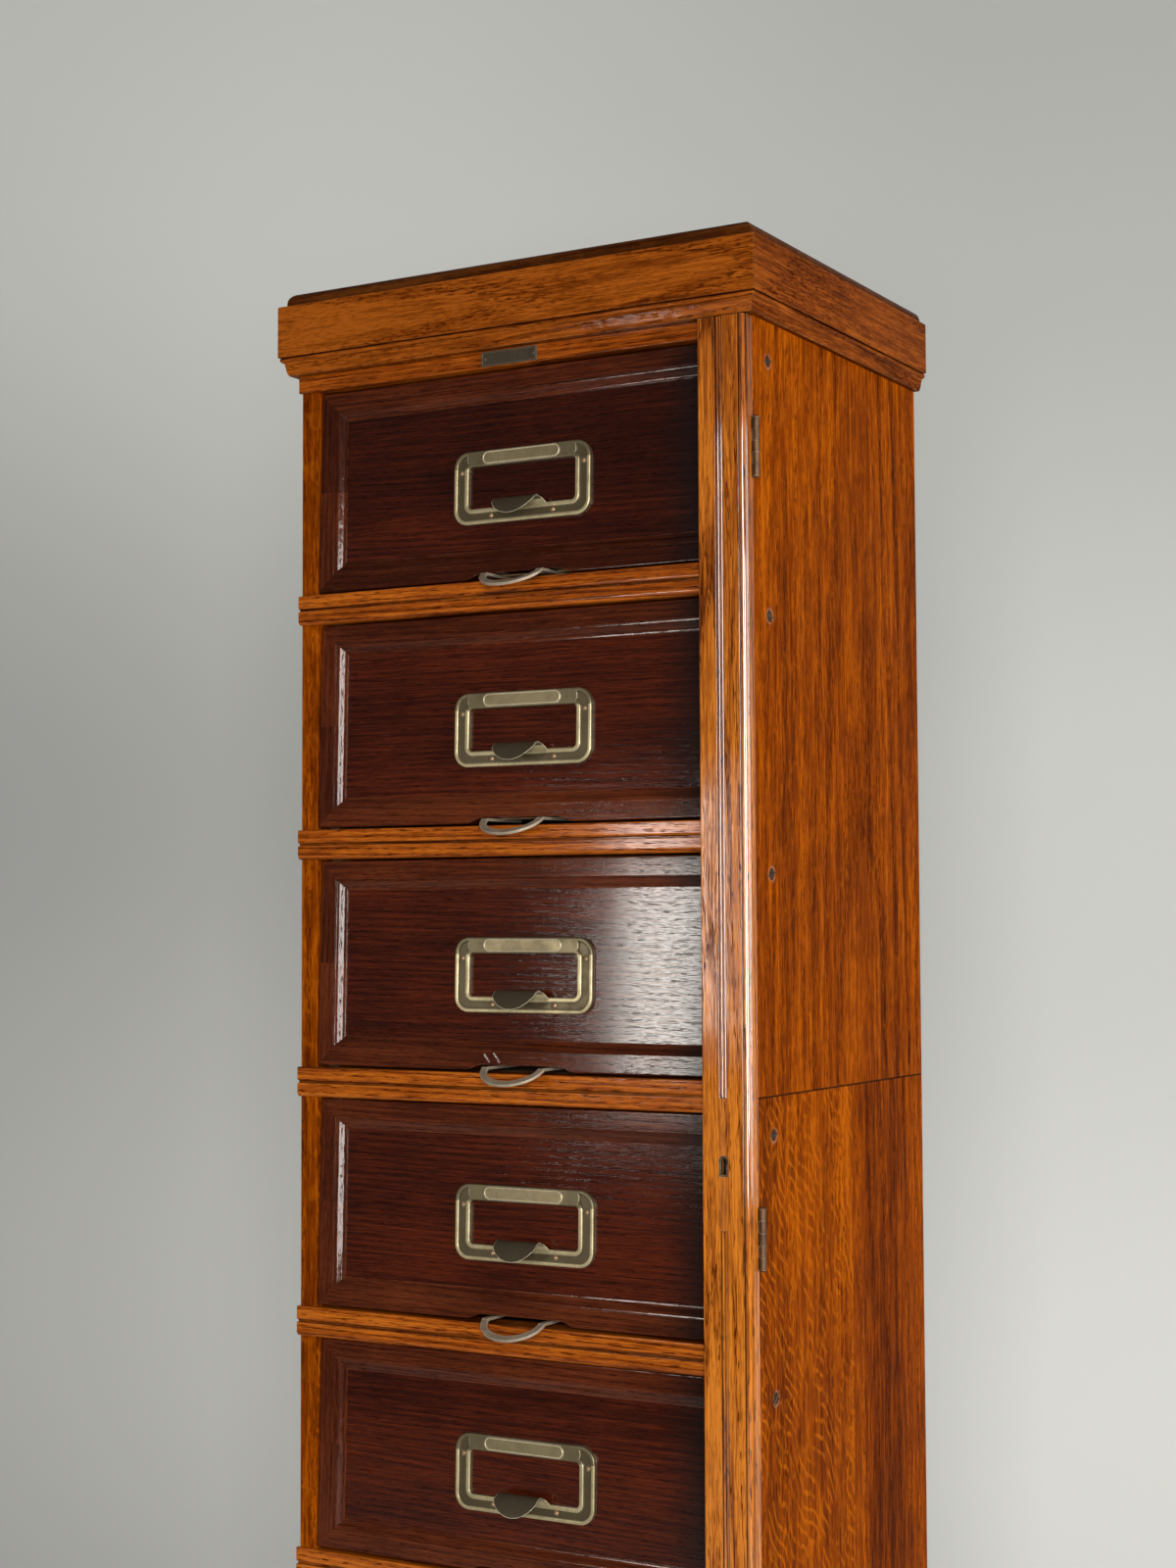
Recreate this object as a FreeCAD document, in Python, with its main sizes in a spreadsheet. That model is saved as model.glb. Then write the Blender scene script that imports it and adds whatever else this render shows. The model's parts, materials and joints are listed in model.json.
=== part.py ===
# Tall filing chest: seven drawers in a two-part oak case, locked by a hinged stile on the right.
# Frame: x to the right, y to the back, z up. The origin is on the floor under the middle of the case.
import FreeCAD
import Part
import math
import os

Vector = FreeCAD.Vector

upper_drawers = 3
lower_drawers = 4
drawer_count = upper_drawers + lower_drawers
knuckle_count = 5

sizes = {
    # case
    "case_width": 430,
    "case_depth": 324,
    "side_thickness": 16,
    "back_thickness": 8,
    "board_thickness": 12.5,
    "opening_height": 175,
    # front rails
    "rail_height": 25,
    "rail_depth": 22,
    "rail_proud": 4,
    "rail_end": 1,
    "rail_round": 4,
    "rail_groove": 2,
    "rail_nose": 2,
    "rail_groove_step": 0.5,
    "rail_arris": 1,
    "tenon_inset": 5,
    # cornice and top
    "rail_showing": 14,
    "moulding_height": 15,
    "moulding_foot": 5,
    "moulding_top": 10.5,
    "moulding_bead": 4,
    "frieze_height": 44,
    "frieze_side": 12,
    "frieze_front": 20,
    "top_thickness": 12.5,
    "top_setback": 6,
    "top_round": 9,
    # plinth
    "plinth_height": 80,
    "plinth_thickness": 20,
    "plinth_side": 8,
    "plinth_front": 18,
    "plinth_cove": 6,
    "plinth_lip": 3,
    "bearer_width": 40,
    # locking stile
    "stile_width": 41,
    "stile_thickness": 13,
    "stile_gap": 0.6,
    "stile_end_gap": 0.8,
    "stile_flat": 15,
    "stile_arris": 1,
    "reed_radius": 1.35,
    "reed_gap": 0.2,
    "reed_depth": 2.2,
    "bead_radius": 2.4,
    "bead_step": 1.3,
    "bead_drop": 4,
    "plain_length": 100,
    "key_below_seam": 49.5,
    "key_from_edge": 23,
    "key_radius": 2.8,
    "key_waist": 3.6,
    "key_foot": 5.4,
    "key_drop": 10,
    "escutcheon_wall": 1.5,
    "escutcheon_depth": 3,
    # hinges
    "hinge_height": 46,
    "hinge_end": 102,
    "hinge_gap": 0.6,
    "hinge_stand": 0.3,
    "barrel_radius": 2.75,
    "hinge_pin_radius": 1.25,
    "hinge_pin_play": 0.05,
    "hinge_pin_head": 1.6,
    "leaf_width": 13,
    "leaf_thickness": 1.4,
    "knuckle_gap": 0.3,
    # lock
    "lock_width": 23,
    "lock_inset": 3,
    "lock_depth": 8,
    "lock_height": 70,
    "lock_key_depth": 3,
    "bolt_inset": 7,
    "bolt_width": 5,
    "bolt_thickness": 2.6,
    "bolt_behind": 1.7,
    "bolt_length": 32,
    "bolt_travel": 12,
    "bolt_play": 0.3,
    "eye_wall": 1.1,
    "eye_play": 0.6,
    "eye_height": 7,
    "eye_above_key": 9,
    "eye_swing": 1.8,
    "eye_front_room": 0.7,
    "staple_width": 18,
    "staple_height": 46,
    "staple_thickness": 2,
    # drawer fronts
    "front_set": 0.5,
    "front_thickness": 15.5,
    "front_lean": 5,
    "front_gap": 0.8,
    "front_lift": 2,
    "front_top_gap": 1.4,
    "front_arris": 1.2,
    "frame_flat": 15.6,
    "frame_ogee": 9,
    "frame_quirk": 1,
    "frame_ogee_depth": 5,
    "frame_rebate": 6,
    "frame_lip": 1,
    "panel_thickness": 7,
    "panel_play": 0.5,
    "batten_width": 7,
    "batten_rebate": 4,
    "notch_width": 108,
    "notch_height": 4.5,
    "notch_end": 20,
    # drawer boxes and what carries them
    "box_side": 10,
    "box_top_gap": 3,
    "box_back_drop": 5.5,
    "box_bottom": 5,
    "box_bottom_lift": 5.5,
    "box_play": 1,
    "box_back_gap": 6,
    "box_ride": 0.3,
    "runner_width": 24,
    "runner_height": 15,
    "guide_height": 30,
    "kicker_height": 24,
    "kicker_lap": 10,
    # side screws
    "screw_head_radius": 4.75,
    "screw_head_height": 2.5,
    "screw_shank_radius": 2,
    "screw_length": 24,
    "screw_drop": 17,
    "screw_setback": 27,
    # label holders and their tongues
    "fittings_offset": 2,
    "holder_drop": 8.5,
    "holder_width": 130,
    "holder_height": 61,
    "holder_corner": 13,
    "holder_plate": 2,
    "holder_rim_height": 4,
    "holder_rim": 3.4,
    "holder_inner_rim": 4,
    "holder_rim_soft": 1.2,
    "holder_side_bar": 14,
    "holder_bar": 13,
    "window_corner": 3.5,
    "plaque_width": 74,
    "plaque_height": 11,
    "plaque_raise": 0.7,
    "plaque_soft": 0.4,
    "tongue_width": 39,
    "tongue_flare": 6,
    "tongue_rise": 7.5,
    "tongue_crest": 7,
    "tongue_reach": 21,
    "tongue_drop": 8,
    "tongue_thickness": 1.5,
    "rivet_radius": 2,
    "rivet_shank_radius": 1.1,
    "rivet_rise": 1.3,
    "rivet_high": 13.5,
    "rivet_apart": 59,
    # loop pulls
    "pull_width": 58,
    "pull_band": 5.5,
    "pull_thickness": 2,
    "pull_leg": 27,
    "pull_clear": 5,
    "pull_forward": 20,
    "pull_down": 12.5,
    "pull_screw_radius": 2.6,
    "pull_screw_neck_radius": 1.2,
    "pull_screw_from_end": 6,
    # nameplate
    "nameplate_width": 53,
    "nameplate_height": 12,
    "nameplate_thickness": 1.2,
    "nameplate_offset": 3,
    "nameplate_pin_radius": 1.2,
    "nameplate_pin_from_end": 3.5,
}

doc = FreeCAD.newDocument("filing_chest")
sheet = doc.addObject("Spreadsheet::Sheet", "Sizes")
for row, (alias, number) in enumerate(sizes.items(), start=1):
    sheet.set(f"A{row}", alias)
    sheet.set(f"B{row}", str(number))
    sheet.setAlias(f"B{row}", alias)
doc.recompute()


# A length that keeps its formula, so that it can be bound to an object as well as measured.
class Dim:
    def __init__(self, text, value):
        self.text = text
        self.value = float(value)

    def __float__(self):
        return self.value

    def __neg__(self):
        return Dim(f"(0 - {self.text})", -self.value)

    def __add__(self, other):
        other = as_dim(other)
        return Dim(f"({self.text} + {other.text})", self.value + other.value)

    def __sub__(self, other):
        other = as_dim(other)
        return Dim(f"({self.text} - {other.text})", self.value - other.value)

    def __mul__(self, number):
        return Dim(f"({self.text} * {number})", self.value * number)

    def __truediv__(self, number):
        return Dim(f"({self.text} / {number})", self.value / number)


def as_dim(number):
    return number if isinstance(number, Dim) else Dim(str(number), number)


def dim(alias):
    return Dim(f"Sizes.{alias}", sheet.get(alias))


def num(alias):
    return float(sheet.get(alias))


nodes = []


def node(item, label):
    item.Label = label
    nodes.append(item)
    return item


def move_to(item, x, y, z):
    for axis, place in zip("xyz", (x, y, z)):
        item.setExpression(f"Placement.Base.{axis}", as_dim(place).text)


# A square-edged board between two corners.
def board(name, low, high):
    item = doc.addObject("Part::Box", name)
    for side, start, end in zip(("Length", "Width", "Height"), low, high):
        item.setExpression(side, (as_dim(end) - start).text)
    move_to(item, *low)
    return item


# A round bar from a base point along a direction.
def bar(name, radius, length, base, direction):
    item = doc.addObject("Part::Cylinder", name)
    item.Placement = FreeCAD.Placement(Vector(), FreeCAD.Rotation(Vector(0, 0, 1), direction))
    item.setExpression("Radius", as_dim(radius).text)
    item.setExpression("Height", as_dim(length).text)
    move_to(item, *base)
    return item


def group(name, items):
    item = doc.addObject("Part::Compound", name)
    item.Links = items
    return item


def joined(name, items):
    item = doc.addObject("Part::MultiFuse", name)
    item.Shapes = items
    item.Refine = True
    return item


def cut(name, base, tool):
    item = doc.addObject("Part::Cut", name)
    item.Base = base
    item.Tool = tool
    return item


# A piece with a moulded, bent or riveted shape of its own, which rests at a height of the case.
def formed(name, shape, height=None):
    item = doc.addObject("Part::Feature", name)
    item.Shape = shape
    if height is not None:
        item.setExpression("Placement.Base.z", height.text)
    return item


# Outline helpers: a closed face from straight runs, arcs (three points) and soft S curves (two points).
def line(start, end):
    return Part.LineSegment(start, end).toShape()


def arc(start, middle, end):
    return Part.Arc(start, middle, end).toShape()


# Quarter round between two points, bulging towards the corner where their runs would meet.
def quarter(start, corner, end):
    centre = start + end - corner
    middle = centre + (corner - centre) * math.sqrt(0.5)
    return arc(start, middle, end)


# S curve that leaves and arrives along one direction.
def s_curve(start, end, along):
    reach = (end - start).dot(along) / 2
    curve = Part.BezierCurve()
    curve.setPoles([start, start + along * reach, end - along * reach, end])
    return curve.toShape()


def face_of(edges):
    return Part.Face(Part.Wire(Part.__sortEdges__(edges)))


def polygon(points):
    return Part.Face(Part.makePolygon(list(points) + [points[0]]))


# Everything on the side of a plane that its normal points to.
def beyond(point, normal):
    reach = 4000
    block = Part.makeBox(reach, reach, reach, Vector(0, -reach / 2, -reach / 2))
    block.Placement = FreeCAD.Placement(point, FreeCAD.Rotation(Vector(1, 0, 0), normal))
    return block


# Driving places that most pieces share.
half_width = dim("case_width") / 2
inner = half_width - dim("side_thickness")
front = -(dim("case_depth") / 2)
back = dim("case_depth") / 2
back_inner = back - dim("back_thickness")
behind_rails = front + dim("rail_depth")
stile_left = half_width - dim("stile_width")
stile_clear = stile_left - dim("stile_gap")
stile_back = front - dim("hinge_gap")
pitch = dim("opening_height") + dim("rail_height")
plinth_top = dim("plinth_height")
top_rail_bottom = plinth_top + pitch * drawer_count
moulding_bottom = top_rail_bottom + dim("rail_showing")
frieze_bottom = moulding_bottom + dim("moulding_height")
case_top = frieze_bottom + dim("frieze_height")
stile_bottom = plinth_top + dim("stile_end_gap")
stile_top = moulding_bottom - dim("stile_end_gap")
key_x = half_width - dim("key_from_edge")


# Rails are numbered from the top: drawer 1 stands on rail 1, the last drawer on the last rail.
def rail_bottom(number):
    return plinth_top + pitch * (drawer_count - number)


def rail_top(number):
    return rail_bottom(number) + dim("rail_height")


drawer_numbers = range(1, drawer_count + 1)
seam_rail = upper_drawers
seam = rail_bottom(seam_rail) + dim("rail_height") / 2
key_height = seam - dim("key_below_seam")
board_levels = (seam_rail, drawer_count)
hinge_heights = [
    stile_top - dim("hinge_end"),
    (stile_top + stile_bottom) / 2,
    stile_bottom + dim("hinge_end"),
]


# Side screws: one near the top front corner of every drawer opening, through the side into a kicker strip.
def side_screw(name, sign, height):
    head_x = half_width * sign
    inward = Vector(-sign, 0, 0)
    place = (head_x, front + dim("screw_setback"), height)
    head = bar(f"{name}_head", dim("screw_head_radius"), dim("screw_head_height"), place, inward)
    shank = bar(f"{name}_shank", dim("screw_shank_radius"), dim("screw_length"), place, inward)
    return joined(name, [head, shank])


screws = {}
for number in drawer_numbers:
    screw_height = rail_top(number) + dim("opening_height") - dim("screw_drop")
    for sign, hand in ((-1, "left"), (1, "right")):
        screws[hand, number] = side_screw(f"screw_{hand}_{number}", sign, screw_height)
side_screws = node(group("side_screws", list(screws.values())), "side_screws")


# Mortises for the hinge leaves, in the front edge of the right side and in the back of the stile.
def leaf_boards(name, near, far):
    boards = []
    for index, height in enumerate(hinge_heights, start=1):
        low = (half_width - dim("leaf_width"), near, height - dim("hinge_height") / 2)
        high = (half_width, far, height + dim("hinge_height") / 2)
        boards.append(board(f"{name}_{index}", low, high))
    return boards


side_mortises = leaf_boards("side_mortise", front, front + dim("leaf_thickness"))
left_screws = [screw for (hand, number), screw in screws.items() if hand == "left"]
right_screws = [screw for (hand, number), screw in screws.items() if hand == "right"]
left_cutters = group("left_cutters", left_screws)
right_cutters = group("right_cutters", right_screws + side_mortises)


# Side panels of the two sections, drilled for the screws and mortised for the hinges.
def make_sides():
    sections = (("upper", seam, case_top), ("lower", plinth_top, seam))
    for section, bottom, top in sections:
        left = board(f"{section}_left_board", (-half_width, front, bottom), (-inner, back, top))
        right = board(f"{section}_right_board", (inner, front, bottom), (half_width, back, top))
        node(cut(f"{section}_side_left", left, left_cutters), f"{section}_side_left")
        node(cut(f"{section}_side_right", right, right_cutters), f"{section}_side_right")


make_sides()


def make_inner_boards():
    upper_back = board("upper_back", (-inner, back_inner, seam), (inner, back, case_top))
    lower_back = board("lower_back", (-inner, back_inner, plinth_top), (inner, back, seam))
    node(group("back_panels", [upper_back, lower_back]), "back_panels")
    upper_floor = board("upper_floor", (-inner, behind_rails, seam), (inner, back_inner, rail_top(seam_rail)))
    lower_top_low = seam - dim("board_thickness")
    lower_top = board("lower_top", (-inner, behind_rails, lower_top_low), (inner, back_inner, seam))
    node(group("seam_boards", [upper_floor, lower_top]), "seam_boards")
    floor_top = rail_top(drawer_count)
    floor_low = (-inner, behind_rails, plinth_top)
    node(board("floor_board", floor_low, (inner, back_inner, floor_top)), "floor_board")


make_inner_boards()


# Runners carry the drawer sides, guides stand beside the right drawer side, kickers stop a drawer from tipping.
def make_runners():
    strips = []
    guide_left = stile_left
    kicker_right = stile_left - dim("box_play") - dim("kicker_lap")
    kicker_left = -inner + dim("box_play") + dim("kicker_lap")
    for number in drawer_numbers:
        top = rail_top(number)
        if number not in board_levels:
            low = top - dim("runner_height")
            left_edge = -inner + dim("runner_width")
            right_edge = stile_left - dim("runner_width")
            strips.append(board(f"runner_left_{number}", (-inner, behind_rails, low), (left_edge, back_inner, top)))
            strips.append(board(f"runner_right_{number}", (right_edge, behind_rails, low), (inner, back_inner, top)))
        guide_top = top + dim("guide_height")
        strips.append(board(f"guide_{number}", (guide_left, behind_rails, top), (inner, back_inner, guide_top)))
        ceiling = top + dim("opening_height")
        underside = ceiling - dim("kicker_height")
        left = board(f"kicker_left_{number}", (-inner, behind_rails, underside), (kicker_left, back_inner, ceiling))
        right = board(f"kicker_right_{number}", (kicker_right, behind_rails, underside), (inner, back_inner, ceiling))
        strips.append(cut(f"drilled_kicker_left_{number}", left, screws["left", number]))
        strips.append(cut(f"drilled_kicker_right_{number}", right, screws["right", number]))
    node(group("drawer_runners", strips), "drawer_runners")


make_runners()


# Front rail section: two bands with a groove between them, the lower edge of each band rounded.
def rail_face():
    face_y = float(front) - num("rail_proud")
    rear_y = float(behind_rails)
    height = num("rail_height")
    soft = num("rail_round")
    nose = num("rail_nose")
    arris = num("rail_arris")
    groove_y = face_y + nose + num("rail_groove_step")
    groove_low = height / 2 - num("rail_groove") / 2
    groove_high = height / 2 + num("rail_groove") / 2

    def at(y, z):
        return Vector(0, y, z)

    return face_of([
        line(at(rear_y, 0), at(face_y + soft, 0)),
        quarter(at(face_y + soft, 0), at(face_y, 0), at(face_y, soft)),
        line(at(face_y, soft), at(face_y, groove_low)),
        line(at(face_y, groove_low), at(groove_y, groove_low)),
        line(at(groove_y, groove_low), at(groove_y, groove_high)),
        line(at(groove_y, groove_high), at(face_y + nose, groove_high)),
        quarter(at(face_y + nose, groove_high), at(face_y, groove_high), at(face_y, groove_high + nose)),
        line(at(face_y, groove_high + nose), at(face_y, height - arris)),
        quarter(at(face_y, height - arris), at(face_y, height), at(face_y + arris, height)),
        line(at(face_y + arris, height), at(rear_y, height)),
        line(at(rear_y, height), at(rear_y, 0)),
    ])


# A rail runs between the left side and the stile. Its nosing laps over the front edge of the left side,
# and a tenon meets the post behind the stile.
def rail_shape():
    left_end = -float(half_width) - num("rail_end")
    right_end = float(stile_clear)
    height = num("rail_height")
    inset = num("tenon_inset")
    rail = rail_face().extrude(Vector(right_end - left_end, 0, 0))
    rail.translate(Vector(left_end, 0, 0))
    side_room = Part.makeBox(
        -float(inner) - left_end, 2 * num("rail_depth"), 3 * height, Vector(left_end, float(front), -height)
    )
    tenon = Part.makeBox(
        num("stile_gap"), num("rail_depth") - inset, height - 2 * inset,
        Vector(right_end, float(front) + inset, inset),
    )
    return rail.cut(side_room).fuse(tenon).removeSplitter()


def make_front_rails():
    whole = rail_shape()
    middle = Vector(0, 0, num("rail_height") / 2)
    upper_half = whole.common(beyond(middle, Vector(0, 0, 1)))
    lower_half = whole.common(beyond(middle, Vector(0, 0, -1)))
    rails = []
    for number in drawer_numbers:
        if number == seam_rail:
            rails.append(formed("upper_base_rail", upper_half, rail_bottom(number)))
            rails.append(formed("lower_top_rail", lower_half, rail_bottom(number)))
        else:
            rails.append(formed(f"rail_{number}", whole, rail_bottom(number)))
    node(group("front_rails", rails), "front_rails")


make_front_rails()


# The top rail shows a nosing like the other rails, and backs the cornice over the whole width above it.
def make_top_rail():
    core = board("top_rail_core", (-inner, front, top_rail_bottom), (inner, behind_rails, case_top))
    left_end = -half_width - dim("rail_end")
    face = front - dim("rail_proud")
    nosing = board("top_rail_nosing", (left_end, face, top_rail_bottom), (stile_clear, front, moulding_bottom))
    backing = board("cornice_backing", (-half_width, face, moulding_bottom), (half_width, front, case_top))
    node(joined("top_rail", [core, nosing, backing]), "top_rail")


make_top_rail()


# Trim that runs round the front and both sides, mitred at the front corners. The outline is drawn by
# overhang and height; the corner is where the overhang is nothing.
def mitred_trim(outline, corner_x, corner_y, front_rear, side_rear):
    spare = 100
    corner = Vector(corner_x, corner_y, 0)
    other_corner = Vector(-corner_x, corner_y, 0)
    outwards = beyond(corner, Vector(1, 1, 0))
    run = outline(lambda over, z: Vector(-corner_x - spare, corner_y - over, z), front_rear)
    run = run.extrude(Vector(2 * (corner_x + spare), 0, 0))
    run = run.cut(outwards).cut(beyond(other_corner, Vector(-1, 1, 0)))
    start = corner_y - spare
    right = outline(lambda over, z: Vector(corner_x + over, start, z), side_rear)
    right = right.extrude(Vector(0, float(back) - start, 0)).common(outwards)
    left = right.mirror(Vector(), Vector(1, 0, 0))
    return Part.makeCompound([run, right, left])


def frieze_outline(at, rear):
    over = num("frieze_side")
    height = num("frieze_height")
    return polygon([at(rear, 0), at(over, 0), at(over, height), at(rear, height)])


# A cyma that rises from a small foot, with a round bead above it.
def moulding_outline(at, rear):
    foot = num("moulding_foot")
    height = num("moulding_height")
    bead = num("moulding_bead")
    bead_root = num("moulding_top") - bead / 2
    foot_lip = num("rail_arris")
    outward = (at(1, 0) - at(0, 0))
    return face_of([
        line(at(rear, 0), at(foot, 0)),
        line(at(foot, 0), at(foot, foot_lip)),
        s_curve(at(foot, foot_lip), at(bead_root, height - bead), outward),
        arc(at(bead_root, height - bead), at(num("moulding_top"), height - bead / 2), at(bead_root, height)),
        line(at(bead_root, height), at(rear, height)),
        line(at(rear, height), at(rear, 0)),
    ])


# A plain plinth board with a cove along its upper edge.
def plinth_outline(at, rear):
    over = num("plinth_side")
    height = num("plinth_height")
    cove = num("plinth_cove")
    shoulder = height - num("plinth_lip") - cove
    return face_of([
        line(at(rear, 0), at(over, 0)),
        line(at(over, 0), at(over, shoulder)),
        quarter(at(over, shoulder), at(over - cove, shoulder), at(over - cove, shoulder + cove)),
        line(at(over - cove, shoulder + cove), at(over - cove, height)),
        line(at(over - cove, height), at(rear, height)),
        line(at(rear, height), at(rear, 0)),
    ])


def make_cornice():
    corner_x = float(half_width)
    corner_y = float(front) - num("frieze_front") + num("frieze_side")
    on_rail = corner_y - (float(front) - num("rail_proud"))
    frieze = mitred_trim(frieze_outline, corner_x, corner_y, on_rail, 0)
    node(formed("cornice_frieze", frieze, frieze_bottom), "cornice_frieze")
    moulding = mitred_trim(moulding_outline, corner_x, corner_y, on_rail, 0)
    node(formed("cornice_moulding", moulding, moulding_bottom), "cornice_moulding")


make_cornice()


def make_top_board():
    over_side = dim("frieze_side") - dim("top_setback")
    over_front = dim("frieze_front") - dim("top_setback")
    low = (-half_width - over_side, front - over_front, case_top)
    high = (half_width + over_side, back, case_top + dim("top_thickness"))
    slab = board("top_slab", low, high)
    doc.recompute()
    upper = float(case_top) + num("top_thickness")
    near = 0.001
    rounded_edges = []
    for index, edge in enumerate(slab.Shape.Edges, start=1):
        centre = edge.CenterOfMass
        if abs(centre.z - upper) < near and centre.y < float(back) - near:
            rounded_edges.append((index, num("top_round"), num("top_round")))
    item = doc.addObject("Part::Fillet", "top_board")
    item.Base = slab
    item.Edges = rounded_edges
    node(item, "top_board")


make_top_board()


def make_plinth():
    corner_x = float(half_width)
    corner_y = float(front) - num("plinth_front") + num("plinth_side")
    rear = num("plinth_side") - num("plinth_thickness")
    trim = formed("plinth_boards", mitred_trim(plinth_outline, corner_x, corner_y, rear, rear))
    side_inner = half_width + dim("plinth_side") - dim("plinth_thickness")
    back_front = back - dim("plinth_thickness")
    rear_board = board("plinth_back", (-side_inner, back_front, 0), (side_inner, back, plinth_top))
    front_back = front - dim("plinth_front") + dim("plinth_thickness")
    bearer_half = dim("bearer_width") / 2
    bearer = board("plinth_bearer", (-bearer_half, front_back, 0), (bearer_half, back_front, plinth_top))
    node(group("plinth", [trim, rear_board, bearer]), "plinth")


make_plinth()


# The fixed posts behind the stile, one in each section, mortised for the lock's staple.
bolt_x = stile_left + dim("bolt_inset") + dim("lock_inset")
bolt_rear = stile_back - dim("bolt_behind")
bolt_front = bolt_rear - dim("bolt_thickness")
bolt_left = bolt_x - dim("bolt_width") / 2
bolt_right = bolt_x + dim("bolt_width") / 2
eye_bottom = key_height + dim("eye_above_key")
eye_top = eye_bottom + dim("eye_height")
eye_front = bolt_front - dim("eye_play") - dim("eye_wall")
eye_left = bolt_left - dim("eye_play") - dim("eye_wall")
eye_right = bolt_right + dim("eye_play") + dim("eye_wall")
bolt_top = eye_bottom - dim("eye_swing")
bolt_bottom = bolt_top - dim("bolt_length")


# Staple: a plate let into the post, with an eye that stands forward into the lock.
def make_staple():
    plate_half = dim("staple_width") / 2
    plate_middle = (eye_bottom + eye_top) / 2
    plate_low = plate_middle - dim("staple_height") / 2
    plate_high = plate_middle + dim("staple_height") / 2
    plate_rear = front + dim("staple_thickness")
    plate_corner = (bolt_x + plate_half, plate_rear, plate_high)
    plate = board("staple_plate", (bolt_x - plate_half, front, plate_low), plate_corner)
    block = board("staple_block", (eye_left, eye_front, eye_bottom), (eye_right, front, eye_top))
    hole_low = (bolt_left - dim("eye_play"), bolt_front - dim("eye_play"), eye_bottom)
    hole_high = (bolt_right + dim("eye_play"), bolt_rear + dim("eye_play"), eye_top)
    hole = board("staple_hole", hole_low, hole_high)
    eye = cut("staple_eye", block, hole)
    node(joined("lock_staple", [plate, eye]), "lock_staple")
    upper_blank = board("upper_post_blank", (stile_left, front, seam), (inner, behind_rails, top_rail_bottom))
    lower_blank = board("lower_post_blank", (stile_left, front, plinth_top), (inner, behind_rails, seam))
    posts = [cut("upper_post", upper_blank, plate), cut("lower_post", lower_blank, plate)]
    node(group("hinge_posts", posts), "hinge_posts")


make_staple()


# Lock case: let into the back of the stile, hollow for the bolt and open at the back for the staple's eye.
lock_left = stile_left + dim("lock_inset")
lock_low = (lock_left, stile_back - dim("lock_depth"), key_height - dim("lock_height") / 2)
lock_high = (lock_left + dim("lock_width"), stile_back, key_height + dim("lock_height") / 2)


# Keyhole form: a round head over a foot that flares downwards, grown by a margin.
def key_shape(grow, near_y, far_y):
    middle_x = float(key_x)
    head_z = float(key_height) + num("key_drop") / 2 - num("key_radius")
    foot_z = head_z - num("key_drop") - grow
    waist = num("key_waist") / 2 + grow
    foot = num("key_foot") / 2 + grow
    depth = far_y - near_y
    head = Part.makeCylinder(num("key_radius") + grow, depth, Vector(middle_x, near_y, head_z), Vector(0, 1, 0))
    slot = polygon([
        Vector(middle_x - waist, near_y, head_z),
        Vector(middle_x - foot, near_y, foot_z),
        Vector(middle_x + foot, near_y, foot_z),
        Vector(middle_x + waist, near_y, head_z),
    ]).extrude(Vector(0, depth, 0))
    return head.fuse(slot).removeSplitter()


def make_lock():
    blank = board("lock_blank", lock_low, lock_high)
    play = dim("bolt_play")
    channel_low = (bolt_left - play, bolt_front - play, bolt_bottom - play)
    channel_high = (bolt_right + play, bolt_rear + play, bolt_top + dim("bolt_travel") + play)
    channel = board("bolt_channel", channel_low, channel_high)
    swing = dim("eye_swing")
    slot_low = (eye_left - swing, eye_front - dim("eye_front_room"), eye_bottom - swing / 2)
    slot = board("eye_slot", slot_low, (eye_right + swing, stile_back, eye_top + swing / 2))
    case_front = float(lock_low[1])
    key_way = formed("key_way", key_shape(0, case_front, case_front + num("lock_key_depth")))
    hollows = group("lock_hollows", [channel, slot, key_way])
    node(cut("lock_case", blank, hollows), "lock_case")
    bolt = board("lock_bolt", (bolt_left, bolt_front, bolt_bottom), (bolt_right, bolt_rear, bolt_top))
    node(bolt, "lock_bolt")


make_lock()


# Stile section: a flat, a groove with two reeds, a second flat and a beaded outer corner.
def stile_face(reeded):
    left_x = float(stile_left)
    rear_y = float(stile_back)
    face_y = rear_y - num("stile_thickness")
    width = num("stile_width")
    arris = num("stile_arris")
    flat = num("stile_flat")
    radius = num("reed_radius")
    gap = num("reed_gap")
    bottom = num("reed_depth")
    bead = num("bead_radius")
    step = num("bead_step")
    drop = num("bead_drop")
    groove_end = flat + 4 * radius + 3 * gap
    bead_start = width - step - 2 * bead

    def at(across, depth):
        return Vector(left_x + across, face_y + depth, 0)

    edges = [
        line(at(0, num("stile_thickness")), at(0, arris)),
        quarter(at(0, arris), at(0, 0), at(arris, 0)),
    ]
    if reeded:
        edges += [line(at(arris, 0), at(flat, 0)), line(at(flat, 0), at(flat, bottom))]
        start = flat
        for reed in range(2):
            first = start + gap
            edges.append(line(at(start, bottom), at(first, bottom)))
            edges.append(arc(at(first, bottom), at(first + radius, bottom - radius), at(first + 2 * radius, bottom)))
            start = first + 2 * radius
        edges += [line(at(start, bottom), at(groove_end, bottom)), line(at(groove_end, bottom), at(groove_end, 0))]
        edges.append(line(at(groove_end, 0), at(bead_start, 0)))
    else:
        edges.append(line(at(arris, 0), at(bead_start, 0)))
    edges += [
        line(at(bead_start, 0), at(bead_start, bead)),
        arc(at(bead_start, bead), at(bead_start + bead, 0), at(bead_start + 2 * bead, bead)),
        line(at(bead_start + 2 * bead, bead), at(bead_start + 2 * bead, drop)),
        line(at(bead_start + 2 * bead, drop), at(width, drop)),
        line(at(width, drop), at(width, num("stile_thickness"))),
        line(at(width, num("stile_thickness")), at(0, num("stile_thickness"))),
    ]
    return face_of(edges)


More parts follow.
